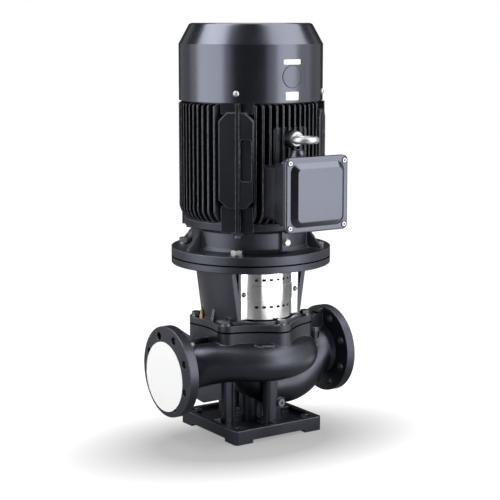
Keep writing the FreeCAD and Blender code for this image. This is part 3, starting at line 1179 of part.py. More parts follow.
def build_all():
    """Make every node."""
    floor = SEAM_Z + LANTERN_FLOOR
    seam = MOTOR_SEAM_Z
    top = seam + MOTOR_FLANGE_THICK
    under = seam - LANTERN_FLANGE_THICK
    save("base_plate", base_plate())
    save("base_screws", base_screws())
    save("volute_casing", volute_casing())
    save("wear_ring", wear_ring())
    save("casing_gasket", casing_gasket())
    save("seal_cover", seal_cover())
    save("seal_seat", seal_seat())
    save("seal_ring", seal_ring())
    save("seal_spring", seal_spring())
    save("impeller", impeller())
    save("impeller_key", impeller_key())
    save("impeller_nut", impeller_nut())
    save("impeller_washer", impeller_washer())
    save("stub_shaft", stub_shaft())
    save("coupling_screws", coupling_screws())
    save("motor_shaft", motor_shaft())
    save("shaft_key", shaft_key())
    save("rotor_core", rotor_core())
    save("slinger", slinger())
    save("fan", fan())
    save("fan_clip", fan_clip())
    save("lantern", lantern())
    save("casing_bolts", bolt_circle(hex_bolt(M12, 38), LOBE_PCD, lobe_angles(), floor + WASHER_THICK))
    save("casing_washers", bolt_circle(washer(M12), LOBE_PCD, lobe_angles(), floor))
    front = guard()
    save("guard_front", front)
    save("guard_rear", turned(front, 180))
    save("guard_screws", guard_screws())
    save("drive_end_shield", drive_end_shield())
    length = top - under + WASHER_THICK
    save("flange_bolts", bolt_circle(hex_bolt(M16, length), MOTOR_PCD, MOTOR_BOLT_ANGLES, top + WASHER_THICK))
    save("flange_washers", bolt_circle(washer(M16), MOTOR_PCD, MOTOR_BOLT_ANGLES, top))
    for name, z in (("lower_bearing", LOWER_BEARING_Z), ("upper_bearing", UPPER_BEARING_Z)):
        outer, inner, balls = bearing(z)
        save(name + "_outer", outer)
        save(name + "_inner", inner)
        save(name + "_balls", balls)
    save("preload_washer", preload_washer())
    save("motor_frame", motor_frame())
    save("stator_core", stator_core())
    save("winding_lower", winding(CORE_Z0 - 42, CORE_Z0))
    save("winding_upper", winding(CORE_Z1, CORE_Z1 + 40))
    save("rear_end_shield", rear_end_shield())
    save("end_shield_bolts", end_shield_bolts())
    save("fan_cover", fan_cover())
    save("fan_cover_screws", fan_cover_screws())
    save("cover_plug", cover_plug())
    save("terminal_box", terminal_box())
    save("box_gasket", box_gasket())
    save("terminal_lid", terminal_lid())
    save("lid_screws", lid_screws())
    save("terminal_board", terminal_board())
    save("terminal_studs", terminal_studs())
    save("cable_plug", cable_plug())
    save("eye_bolt", eye_bolt())
    save("earth_screw", earth_screw())
    save("vent_body", vent_body())
    save("vent_screw", vent_screw())
    save("drain_plug", drain_plug())
    save("gauge_plugs", gauge_plugs())


build_all()
os.makedirs("parts", exist_ok=True)
for node, solid in PARTS.items():
    solid.exportStep("parts/" + node + ".step")
print(len(PARTS), "nodes written")
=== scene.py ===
"""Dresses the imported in-line circulation pump: paint, metals, film, labels, studio and camera.

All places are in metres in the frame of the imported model: the origin is the middle of the
foot plate's underside, +Z runs up the shaft, +X points out of the suction flange and -Y faces
the terminal box.
"""
from __future__ import annotations

import json
import logging
import math
from dataclasses import dataclass
from enum import Enum

import bpy
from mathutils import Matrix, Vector

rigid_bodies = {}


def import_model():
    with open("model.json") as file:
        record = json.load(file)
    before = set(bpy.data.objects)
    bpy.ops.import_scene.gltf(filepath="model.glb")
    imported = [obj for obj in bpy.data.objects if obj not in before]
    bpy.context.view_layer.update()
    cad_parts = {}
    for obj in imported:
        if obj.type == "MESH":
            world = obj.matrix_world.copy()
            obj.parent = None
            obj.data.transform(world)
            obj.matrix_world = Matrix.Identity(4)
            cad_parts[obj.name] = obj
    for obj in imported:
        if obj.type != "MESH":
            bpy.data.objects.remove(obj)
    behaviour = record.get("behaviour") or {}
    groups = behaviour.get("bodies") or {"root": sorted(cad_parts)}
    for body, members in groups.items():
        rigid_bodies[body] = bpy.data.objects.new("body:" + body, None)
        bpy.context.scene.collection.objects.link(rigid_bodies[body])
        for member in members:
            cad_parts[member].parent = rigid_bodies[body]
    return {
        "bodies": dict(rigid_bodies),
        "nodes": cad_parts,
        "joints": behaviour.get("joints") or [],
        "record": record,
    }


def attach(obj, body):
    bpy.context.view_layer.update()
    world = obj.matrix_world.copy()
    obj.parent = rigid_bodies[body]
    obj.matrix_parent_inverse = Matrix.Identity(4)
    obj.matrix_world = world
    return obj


LOG = logging.getLogger("pump")
MM = 0.001
Colour = tuple[float, float, float]
Range = tuple[float, float]
PAINTED_SHADE_BLACK: Colour = (0.0, 0.0, 0.0)
WHITE: Colour = (1.0, 1.0, 1.0)
PLAIN_SPECULAR = 0.5
FLOAT, VECTOR = "NodeSocketFloat", "NodeSocketVector"
# Places of the colour sockets on the mix node
MIX_FACTOR, MIX_FIRST, MIX_SECOND, MIX_RESULT = 0, 6, 7, 2


class Relief(Enum):
    """Kinds of fine relief, each with the name of the node group that makes it."""

    GRAINED = "cast_skin"
    BRUSHED = "metal_lines"


@dataclass(frozen=True)
class Wiring:
    """Small helper that adds and joins nodes in one tree."""

    tree: bpy.types.NodeTree

    def join(self, source: object, socket: bpy.types.NodeSocket) -> None:
        """Links a socket to an input, or writes a plain value into that input.

        Args:
            source: The socket to link, or the value to write.
            socket: The input that takes it.
        """
        if isinstance(source, bpy.types.NodeSocket):
            self.tree.links.new(source, socket)
        else:
            socket.default_value = source

    def node(self, kind: str, **values: object) -> bpy.types.Node:
        """Adds a node and sets its properties or input sockets.

        Args:
            kind: Blender's type name of the node.
            **values: Properties by name, or what input sockets take, with their names' spaces
                as underscores.

        Returns:
            The new node.
        """
        made = self.tree.nodes.new(kind)
        for key, value in values.items():
            if hasattr(made, key):
                setattr(made, key, value)
            else:
                self.join(value, made.inputs[key.replace("_", " ")])
        return made

    def maths(self, operation: str, *terms: object) -> bpy.types.NodeSocket:
        """Adds one step of arithmetic.

        Args:
            operation: Name of the operation.
            *terms: One or two values or sockets.

        Returns:
            The result's socket.
        """
        made = self.node("ShaderNodeMath", operation=operation)
        for term, socket in zip(terms, made.inputs):
            self.join(term, socket)
        return made.outputs[0]

    def spread(self, value: bpy.types.NodeSocket, given: Range,
               wanted: Range = (0.0, 1.0)) -> bpy.types.NodeSocket:
        """Maps a value from one range to another, held at the ends.

        Args:
            value: The value to map.
            given: The range that it comes in.
            wanted: The range that it leaves in.

        Returns:
            The mapped value's socket.
        """
        made = self.node("ShaderNodeMapRange")
        for term, socket in zip((value, *given, *wanted), made.inputs):
            self.join(term, socket)
        return made.outputs[0]

    def length(self, along: bpy.types.NodeSocket,
               across: bpy.types.NodeSocket) -> bpy.types.NodeSocket:
        """Adds the length of a level vector.

        Args:
            along: The vector's first component.
            across: Its second component.

        Returns:
            The length's socket.
        """
        squares = [self.maths("MULTIPLY", part, part) for part in (along, across)]
        return self.maths("SQRT", self.maths("ADD", *squares))

    def mix(self, factor: bpy.types.NodeSocket, first: object,
            second: Colour) -> bpy.types.NodeSocket:
        """Adds a mix of two colours.

        Args:
            factor: How much of the second colour shows.
            first: The first colour's four values, or the socket that gives them.
            second: The second colour.

        Returns:
            The mixed colour's socket.
        """
        made = self.node("ShaderNodeMix", data_type="RGBA")
        self.join(factor, made.inputs[MIX_FACTOR])
        self.join(first, made.inputs[MIX_FIRST])
        self.join((*second, 1), made.inputs[MIX_SECOND])
        return made.outputs[MIX_RESULT]

    def noise(self, **values: object) -> bpy.types.NodeSocket:
        """Adds a noise texture.

        Args:
            **values: What its input sockets take.

        Returns:
            The socket of its value.
        """
        return self.node("ShaderNodeTexNoise", **values).outputs["Fac"]


# Node groups that several finishes share


def new_group(name: str, inputs: dict[str, float], outputs: dict[str, str]) -> tuple[
        Wiring, bpy.types.NodeOutputs, bpy.types.NodeInputs]:
    """Starts a shader node group that takes a place and some numbers.

    Args:
        name: Name of the group.
        inputs: Its numbers with their default values.
        outputs: Its outputs with the types of their sockets.

    Returns:
        The group's wiring, the sockets that bring its inputs and those that take its outputs.
    """
    tree = bpy.data.node_groups.new(name, "ShaderNodeTree")
    tree.interface.new_socket("Place", in_out="INPUT", socket_type=VECTOR)
    for key, value in inputs.items():
        socket = tree.interface.new_socket(key, in_out="INPUT", socket_type=FLOAT)
        socket.default_value = value
    for key, kind in outputs.items():
        tree.interface.new_socket(key, in_out="OUTPUT", socket_type=kind)
    given = tree.nodes.new("NodeGroupInput").outputs
    result = tree.nodes.new("NodeGroupOutput").inputs
    return Wiring(tree), given, result


def cast_skin_group() -> None:
    """Builds the sand-cast skin: fine grain under paint, soft ripples and uneven gloss."""
    pits_per_grain, pit_reach, pit_depth = 0.22, 0.16, 0.35
    clouds_per_metre, cloud_in_shade, grain_in_shade = 9.0, 0.7, 0.3
    wire, given, result = new_group(
        "cast_skin", {"Grain Size": 0.001, "Ripple Size": 0.012, "Ripple": 0.5},
        {"Height": FLOAT, "Shade": FLOAT, "Gloss": FLOAT})
    place = given["Place"]
    grain = wire.noise(Vector=place, Detail=3.0, Roughness=0.6,
                       Scale=wire.maths("DIVIDE", 1.0, given["Grain Size"]))
    ripple = wire.noise(Vector=place, Detail=1.5, Roughness=0.45,
                        Scale=wire.maths("DIVIDE", 1.0, given["Ripple Size"]))
    cloud = wire.noise(Vector=place, Detail=4.0, Scale=clouds_per_metre)
    pits = wire.node("ShaderNodeTexVoronoi", Vector=place,
                     Scale=wire.maths("DIVIDE", pits_per_grain, given["Grain Size"]))
    dents = wire.spread(pits.outputs["Distance"], (0.0, pit_reach), (-pit_depth, 0.0))
    swell = wire.maths("MULTIPLY", ripple, given["Ripple"])
    wire.join(wire.maths("ADD", wire.maths("ADD", grain, dents), swell), result["Height"])
    shade = wire.maths("ADD", wire.maths("MULTIPLY", cloud, cloud_in_shade),
                       wire.maths("MULTIPLY", grain, grain_in_shade))
    wire.join(wire.spread(shade, (0.35, 0.65)), result["Shade"])
    wire.join(wire.spread(cloud, (0.3, 0.7)), result["Gloss"])


def brushed_group() -> None:
    """Builds the fine lines that rolling, turning or grinding leaves on bare metal."""
    lines_per_width, smudges_per_metre, line_in_gloss = 0.06, 45.0, 0.5
    wire, given, result = new_group(
        "metal_lines", {"Line Width": 0.0006, "Stretch": 22.0, "Smudge": 0.4},
        {"Height": FLOAT, "Shade": FLOAT, "Gloss": FLOAT})
    squeeze = wire.node("ShaderNodeCombineXYZ", X=1.0, Y=1.0, Z=given["Stretch"])
    place = wire.node("ShaderNodeVectorMath", operation="MULTIPLY")
    wire.join(given["Place"], place.inputs[0])
    wire.join(squeeze.outputs[0], place.inputs[1])
    lines = wire.noise(Vector=place.outputs[0], Detail=3.0, Roughness=0.65,
                       Scale=wire.maths("DIVIDE", lines_per_width, given["Line Width"]))
    smudge = wire.noise(Vector=given["Place"], Detail=3.0, Scale=smudges_per_metre)
    wire.join(lines, result["Height"])
    wire.join(wire.spread(lines, (0.3, 0.7)), result["Shade"])
    gloss = wire.maths("ADD", wire.maths("MULTIPLY", smudge, given["Smudge"]),
                       wire.maths("MULTIPLY", lines, line_in_gloss))
    wire.join(gloss, result["Gloss"])


def edge_group() -> None:
    """Builds softened casting edges: a mask for wear and painted highlights, and a rounded
    normal.
    """
    flat, bent = 0.995, 0.85
    specks_per_metre = 160.0
    wire, given, result = new_group("worn_edges", {"Radius": 0.001},
                                    {"Mask": FLOAT, "Normal": VECTOR})
    rounded = wire.node("ShaderNodeBevel", samples=4, Radius=given["Radius"]).outputs[0]
    compare = wire.node("ShaderNodeVectorMath", operation="DOT_PRODUCT")
    wire.join(rounded, compare.inputs[0])
    wire.join(wire.node("ShaderNodeNewGeometry").outputs["Normal"], compare.inputs[1])
    edge = wire.spread(compare.outputs["Value"], (flat, bent))
    speck = wire.noise(Vector=given["Place"], Scale=specks_per_metre, Detail=2.0)
    patchy = wire.spread(speck, (0.35, 0.6), (0.25, 1.0))
    wire.join(wire.maths("MULTIPLY", edge, patchy), result["Mask"])
    wire.join(rounded, result["Normal"])


# Finishes


@dataclass(frozen=True)
class Finish:
    """One surface finish of the pump, with all its sizes in metres.

    Attributes:
        name: Name of the material.
        colour: Its darker colour.
        light_colour: Its lighter colour.
        roughness: Range of its roughness.
        relief: Kind of its fine relief.
        metallic: 1 for bare metal.
        ior: Index of refraction.
        coat: Weight of a clear coat.
        coat_roughness: Roughness of that coat.
        tint: Tint of its reflections.
        grain: Size of the grain, or width of the brushed lines.
        ripple: Size of the soft ripples.
        depth: Depth of the relief.
        edge: Radius of the softened edges.
        edge_wear_and_highlight_colour: Colour at the edges: wear, and on the black paint a
            painted highlight.
        edge_wear_and_highlight_gain: How much of that colour shows.
        shaded_joint_levels: Levels of the joints between castings, where a painted shade line
            darkens the recessed groove and takes away its reflection.
        joint_shade_half: Half the width of such a painted shade line.
        joint_shade_end: The line's outer edge, where it has faded out, over its inner edge.
        joint_shade_reach: How far from the shaft the lines go.
    """

    name: str
    colour: Colour
    light_colour: Colour
    roughness: Range
    relief: Relief = Relief.GRAINED
    metallic: float = 0.0
    ior: float = 1.5
    coat: float = 0.0
    coat_roughness: float = 0.1
    tint: Colour = WHITE
    grain: float = 0.001
    ripple: float = 0.012
    depth: float = 0.0001
    edge: float = 0.001
    edge_wear_and_highlight_colour: Colour = (0.2, 0.2, 0.2)
    edge_wear_and_highlight_gain: float = 0.3
    shaded_joint_levels: tuple[float, ...] = ()
    joint_shade_half: float = 1.3 * MM
    joint_shade_end: float = 1.7
    joint_shade_reach: float = 185 * MM

    def joint_shade_mask(self, wire: Wiring, place: bpy.types.NodeSocket) -> bpy.types.NodeSocket:
        """Masks the painted shade lines at the recessed joints between this finish's castings.

        Args:
            wire: The material's wiring.
            place: Coordinates on the object.

        Returns:
            A socket that is 1 in a painted shade line and 0 elsewhere.
        """
        axes = wire.node("ShaderNodeSeparateXYZ", Vector=place).outputs
        inside = wire.spread(wire.length(axes["X"], axes["Y"]),
                             (self.joint_shade_reach, self.joint_shade_reach + MM), (1.0, 0.0))
        shade_line_edge = (self.joint_shade_half, self.joint_shade_end * self.joint_shade_half)
        # Painted shade: a band that fades out on each side of every joint level
        lines: object = 0.0
        for level in self.shaded_joint_levels:
            off = wire.maths("ABSOLUTE", wire.maths("SUBTRACT", axes["Z"], level))
            lines = wire.maths("MAXIMUM", lines, wire.spread(off, shade_line_edge, (1.0, 0.0)))
        return wire.maths("MULTIPLY", lines, inside)

    def skin(self, wire: Wiring, place: bpy.types.NodeSocket) -> bpy.types.NodeOutputs:
        """Places the shared relief group with this finish's sizes.

        Args:
            wire: The material's wiring.
            place: Coordinates on the object.

        Returns:
            The group's sockets Height, Shade and Gloss.
        """
        if self.relief is Relief.BRUSHED:
            sizes = {"Line_Width": self.grain}
        else:
            sizes = {"Grain_Size": self.grain, "Ripple_Size": self.ripple}
        return wire.node("ShaderNodeGroup", node_tree=bpy.data.node_groups[self.relief.value],
                         Place=place, **sizes).outputs

    def material(self) -> bpy.types.Material:
        """Builds the material.

        Returns:
            The finished material.
        """
        material = bpy.data.materials.new(self.name)
        material.use_nodes = True
        wire = Wiring(material.node_tree)
        shader = wire.tree.nodes["Principled BSDF"].inputs
        place = wire.node("ShaderNodeTexCoord").outputs["Object"]
        skin = self.skin(wire, place)
        edges = wire.node("ShaderNodeGroup", node_tree=bpy.data.node_groups["worn_edges"],
                          Place=place, Radius=self.edge).outputs
        body = wire.mix(skin["Shade"], (*self.colour, 1), self.light_colour)
        # The edge mask lightens the edges: wear on bare metal, painted highlights on the black
        # castings and frame
        edge_wear_and_highlight = wire.maths("MULTIPLY", edges["Mask"], self.edge_wear_and_highlight_gain)
        paint = wire.mix(edge_wear_and_highlight, body, self.edge_wear_and_highlight_colour)
        if self.shaded_joint_levels:
            joint_shade = self.joint_shade_mask(wire, place)
            # Painted shade: each joint groove is drawn black, with its reflection taken away
            paint = wire.mix(joint_shade, paint, PAINTED_SHADE_BLACK)
            wire.join(wire.spread(joint_shade, (0.0, 1.0), (PLAIN_SPECULAR, 0.0)),
                      shader["Specular IOR Level"])
        wire.join(paint, shader["Base Color"])
        wire.join(wire.spread(skin["Gloss"], (0.0, 1.0), self.roughness), shader["Roughness"])
        bump = wire.node("ShaderNodeBump", Strength=1.0, Distance=self.depth,
                         Height=skin["Height"], Normal=edges["Normal"])
        wire.join(bump.outputs[0], shader["Normal"])
        shader["Metallic"].default_value = self.metallic
        shader["IOR"].default_value = self.ior
        shader["Coat Weight"].default_value = self.coat
        shader["Coat Roughness"].default_value = self.coat_roughness
        shader["Specular Tint"].default_value = (*self.tint, 1)
        return material


PAINT_TINT: Colour = (0.78, 0.82, 1.0)
# Levels of the casting joints where painted shade lines are drawn
SHADED_JOINT_LEVELS = (242 * MM, 396.5 * MM)
BARE_METAL = {"relief": Relief.BRUSHED, "metallic": 1.0}
# The pale edge colours of cast_black and frame_black are painted highlights along rims and fin
# tips
FINISHES = {finish.name: finish for finish in (
    Finish("cast_black", (0.005, 0.0052, 0.007), (0.011, 0.0115, 0.015), (0.28, 0.42),
           ior=1.8, tint=PAINT_TINT, grain=0.0022, ripple=0.009, depth=0.0003, edge=0.0026,
           edge_wear_and_highlight_colour=(0.3, 0.305, 0.32), edge_wear_and_highlight_gain=0.75, shaded_joint_levels=SHADED_JOINT_LEVELS),
    Finish("frame_black", (0.004, 0.0042, 0.0055), (0.008, 0.0084, 0.011), (0.3, 0.42),
           tint=PAINT_TINT, grain=0.0016, ripple=0.014, depth=0.00022, edge=0.0016,
           edge_wear_and_highlight_colour=(0.5, 0.51, 0.53), edge_wear_and_highlight_gain=0.75),
    Finish("sheet_black", (0.005, 0.0052, 0.007), (0.009, 0.0095, 0.012), (0.2, 0.26),
           ior=2.0, tint=PAINT_TINT, grain=0.0022, ripple=0.03, depth=0.00004, edge=0.0018,
           edge_wear_and_highlight_colour=(0.05, 0.052, 0.06), edge_wear_and_highlight_gain=0.25),
    Finish("stainless", (0.8, 0.81, 0.82), (0.88, 0.89, 0.9), (0.1, 0.2), **BARE_METAL,
           grain=0.0006, depth=0.00001, edge=0.0005, edge_wear_and_highlight_colour=(0.9, 0.9, 0.9),
           edge_wear_and_highlight_gain=0.2),
    Finish("zinc", (0.2, 0.205, 0.215), (0.32, 0.325, 0.335), (0.26, 0.42), **BARE_METAL,
           grain=0.0009, depth=0.00003, edge=0.0008, edge_wear_and_highlight_colour=(0.7, 0.7, 0.72)),
    Finish("zinc_bright", (0.46, 0.47, 0.48), (0.6, 0.61, 0.62), (0.36, 0.52), **BARE_METAL,
           grain=0.0009, depth=0.00003, edge=0.0008, edge_wear_and_highlight_colour=(0.85, 0.85, 0.86)),
    Finish("brass", (0.42, 0.3, 0.15), (0.55, 0.42, 0.24), (0.32, 0.46), **BARE_METAL,
           grain=0.0005, depth=0.00002, edge=0.0005, edge_wear_and_highlight_colour=(0.85, 0.68, 0.4)),
    Finish("shaft_steel", (0.5, 0.5, 0.51), (0.62, 0.62, 0.63), (0.18, 0.3), **BARE_METAL,
           grain=0.0005, depth=0.00002, edge=0.0006, edge_wear_and_highlight_colour=(0.8, 0.8, 0.8)),
    Finish("laminations", (0.22, 0.22, 0.24), (0.34, 0.34, 0.36), (0.35, 0.5), **BARE_METAL,
           grain=0.0005, depth=0.00006, edge=0.0006),
    Finish("copper", (0.4, 0.16, 0.06), (0.55, 0.26, 0.11), (0.25, 0.4), coat=0.6,
           grain=0.002, ripple=0.006, depth=0.0004),
    Finish("seal_carbon", (0.03, 0.03, 0.033), (0.045, 0.045, 0.05), (0.3, 0.4),
           grain=0.0006, depth=0.00002, edge=0.0004),
    Finish("gasket", (0.06, 0.06, 0.065), (0.09, 0.09, 0.095), (0.6, 0.75), grain=0.0007,
           depth=0.00005, edge=0.0003),
    Finish("rubber", (0.02, 0.02, 0.02), (0.03, 0.03, 0.03), (0.5, 0.65), depth=0.00003,
           edge=0.0006),
    Finish("impeller_iron", (0.13, 0.13, 0.14), (0.2, 0.2, 0.21), (0.45, 0.6), grain=0.0012,
           depth=0.0002),
    Finish("plastic_black", (0.006, 0.0062, 0.008), (0.01, 0.0105, 0.013), (0.22, 0.3),
           ior=1.95, tint=PAINT_TINT, grain=0.0008, depth=0.00002),
    Finish("board", (0.28, 0.1, 0.05), (0.36, 0.14, 0.07), (0.4, 0.5), depth=0.00004,
           edge=0.0006),
)}
FILM = Finish("white_film", (0.97, 0.98, 0.975), (0.99, 0.99, 0.99), (0.3, 0.42), ior=1.25,
              grain=0.004, ripple=0.02, depth=0.00025, edge=0.0003,
              edge_wear_and_highlight_colour=(0.97, 0.97, 0.97))
LABEL = Finish("white_label", (0.86, 0.86, 0.85), (0.9, 0.9, 0.9), (0.4, 0.5), ripple=0.01,
               depth=0.00003, edge=0.0002, edge_wear_and_highlight_colour=(0.9, 0.9, 0.9))
# Nodes whose finish isn't that of their material slot
NODE_FINISHES = {
    "eye_bolt": "zinc_bright",
    "lid_screws": "zinc_bright",
    "fan_cover_screws": "zinc_bright",
    "earth_screw": "zinc_bright",
    "end_shield_bolts": "cast_black",
    "motor_frame": "frame_black",
}


# Pieces that the solids leave out


def settle(piece: bpy.types.Object, name: str, finish: bpy.types.Material) -> bpy.types.Object:
    """Names a finished piece, applies its modifiers and place, and gives it its finish.

    Args:
        piece: The piece to finish.
        name: Its name.
        finish: Its material.

    Returns:
        The same piece.
    """
    bpy.ops.object.select_all(action="DESELECT")
    piece.select_set(True)
    bpy.context.view_layer.objects.active = piece
    for modifier in list(piece.modifiers):
        bpy.ops.object.modifier_apply(modifier=modifier.name)
    bpy.ops.object.transform_apply(location=True, rotation=True, scale=True)
    piece.name = name
    piece.data.name = name
    piece.data.materials.clear()
    piece.data.materials.append(finish)
    LOG.info("%s: %d faces", name, len(piece.data.polygons))
    return piece


def thicken(piece: bpy.types.Object, thickness: float) -> None:
    """Gives a sheet its thickness, outwards from its face.

    Args:
        piece: The sheet.
        thickness: Its thickness.
    """
    shell = piece.modifiers.new("thickness", "SOLIDIFY")
    shell.thickness = thickness
    shell.offset = 1.0


@dataclass(frozen=True)
class FlangeFilm:
    """White protective film stuck over the bore and raised face of the discharge flange.

    Attributes:
        face: Where the flange's raised face is on X.
        radius: The film's radius.
        middle: Level of its middle.
        aside: How far its middle is off the flange's axis.
        thickness: Its thickness.
        dish: How deep it sinks over the bore.
        bore_level: Level of the bore's axis.
        bore_radius: Radius of the sunk part.
        crease: How much the depth varies around the film, as a share.
        crease_count: How often it varies in one turn.
        crease_start: Angle of the first crease in radians.
        segments: Edges around the film.
        rings: Rings of faces in it.
        smooth_angle: Edges up to this many degrees are shaded smooth.
    """

    face: float = -220 * MM
    radius: float = 77 * MM
    middle: float = 143 * MM
    aside: float = 10 * MM
    thickness: float = 0.3 * MM
    dish: float = 0.5 * MM
    bore_level: float = 156 * MM
    bore_radius: float = 38 * MM
    crease: float = 0.15
    crease_count: int = 3
    crease_start: float = 0.4
    segments: int = 96
    rings: int = 9
    smooth_angle: float = 40.0

    def build(self, finish: bpy.types.Material) -> bpy.types.Object:
        """Makes the film as a disc that sinks a little over the bore.

        Args:
            finish: The film's material.

        Returns:
            The finished film.
        """
        bpy.ops.mesh.primitive_circle_add(vertices=self.segments, radius=self.radius,
                                          fill_type="NGON",
                                          location=(self.face, self.aside, self.middle),
                                          rotation=(0, math.radians(-90), 0))
        film = bpy.context.active_object
        bpy.ops.object.mode_set(mode="EDIT")
        step = self.radius / (self.rings + 1)
        for _ in range(self.rings):
            bpy.ops.mesh.inset(thickness=step, depth=0)
        bpy.ops.object.mode_set(mode="OBJECT")
        bore = Vector((self.bore_level - self.middle, -self.aside))
        for vertex in film.data.vertices:
            away = (vertex.co.xy - bore).length
            sunk = max(0.0, 1 - (away / self.bore_radius) ** 2)
            angle = math.atan2(vertex.co.y, vertex.co.x)
            wave = math.sin(self.crease_count * angle + self.crease_start)
            vertex.co.z = -self.dish * sunk * (1 + self.crease * wave * away / self.radius)
        thicken(film, self.thickness)
        settle(film, "flange_film", finish)
        bpy.ops.object.shade_smooth_by_angle(angle=math.radians(self.smooth_angle))
        return film


@dataclass(frozen=True)
class CoverLabel:
    """Bare label stuck on the fan cover, curved with it.

    Attributes:
        name: Name of the piece.
        width: Width along the curve.
        height: Height.
        level: Level of its middle.
        cover_radius: Radius of the cover's outside.
        thickness: Its thickness.
        columns: Columns of faces in it.
        corner: Radius of its corners.
    """

    name: str
    width: float
    height: float
    level: float
    cover_radius: float = 157.35 * MM
    thickness: float = 0.15 * MM
    columns: int = 16
    corner: float = 1.2 * MM

    def build(self, finish: bpy.types.Material) -> bpy.types.Object:
        """Makes the label as a strip wrapped round the cover's front.

        Args:
            finish: The label's material.

        Returns:
            The finished label.
        """
        bpy.ops.mesh.primitive_grid_add(x_subdivisions=self.columns, y_subdivisions=2, size=1.0)
        label = bpy.context.active_object
        for vertex in label.data.vertices:
            across = vertex.co.x * self.width
            up = vertex.co.y * self.height
            near_end = max(0.0, abs(across) - self.width / 2 + self.corner) / self.corner
            cut = self.corner * (1 - math.sqrt(max(0.0, 1 - near_end ** 2)))
            limit = self.height / 2 - cut
            angle = across / self.cover_radius
            vertex.co = Vector((self.cover_radius * math.sin(angle),
                                -self.cover_radius * math.cos(angle),
                                self.level + max(-limit, min(limit, up))))
        thicken(label, self.thickness)
        return settle(label, self.name, finish)


LABELS = (CoverLabel("upper_label", 43 * MM, 11 * MM, 824 * MM),
          CoverLabel("lower_label", 33 * MM, 18 * MM, 753 * MM))


# Studio


@dataclass(frozen=True)
class Softbox:
    """One area lamp that faces the pump.

    Attributes:
        name: The lamp's name.
        right: Degrees to the right of the camera, seen from the pump.
        up: Degrees above the level.
        distance: Distance from the pump in metres.
        width: Width of the lamp.
        height: Height of the lamp.
        radiance: Brightness of its face, where 1 is white.
    """

    name: str
    right: float
    up: float
    distance: float
    width: float
    height: float
    radiance: float

    def hang(self, azimuth: float, aim: Vector) -> None:
        """Adds the lamp to the scene.

        Args:
            azimuth: Where the camera is, in degrees around the pump.
            aim: The point that the lamp faces.
        """
        data = bpy.data.lights.new(self.name, "AREA")
        data.shape = "RECTANGLE"
        data.size = self.width
        data.size_y = self.height
        data.energy = self.radiance * math.pi * self.width * self.height
        lamp = bpy.data.objects.new(self.name, data)
        around = math.radians(azimuth + self.right)
        rise = math.radians(self.up)
        way = Vector((math.cos(rise) * math.cos(around), math.cos(rise) * math.sin(around),
                      math.sin(rise)))
        lamp.location = aim + way * self.distance
        lamp.rotation_euler = (-way).to_track_quat("-Z", "Y").to_euler()
        bpy.context.scene.collection.objects.link(lamp)


@dataclass(frozen=True)
class LitZone:
    """Part of the floor that glossy pieces mirror as white, on one side of the pump.

    Attributes:
        dark: Sine of the angle beside the camera's line where the zone fades out.
        lit: Sine of that angle where it is fully lit.
        start: Distances from the pump over which it starts.
    """

    dark: float
    lit: float
    start: Range


SOFTBOXES = (
    Softbox("left_box", -66, 9, 2.2, 2.0, 2.0, 2.4),
    Softbox("left_wide_box", -70, 9, 2.5, 4.2, 2.0, 0.8),
    Softbox("right_box", 57, 18, 1.42, 0.84, 1.7, 2.4),
    Softbox("low_strip", 46, -15.1, 1.42, 2.3, 0.18, 1.8),
    Softbox("right_wide_box", 66, 4, 2.5, 4.2, 2.6, 1.0),
    Softbox("left_rim_box", -130, 4, 2.4, 1.5, 2.4, 0.28),
    Softbox("right_rim_box", 122, 4, 2.4, 1.7, 2.4, 0.35),
    Softbox("top_left_box", -82, 60, 2.4, 1.5, 1.5, 5.6),
    Softbox("top_right_box", 82, 58, 2.4, 2.0, 1.6, 3.8),
    Softbox("rear_top_box", 180, 62, 2.6, 2.0, 1.6, 2.0),
)
LIT_ZONES = (LitZone(-0.3, -0.55, (0.95, 1.1)), LitZone(0.3, 0.55, (0.35, 0.65)))


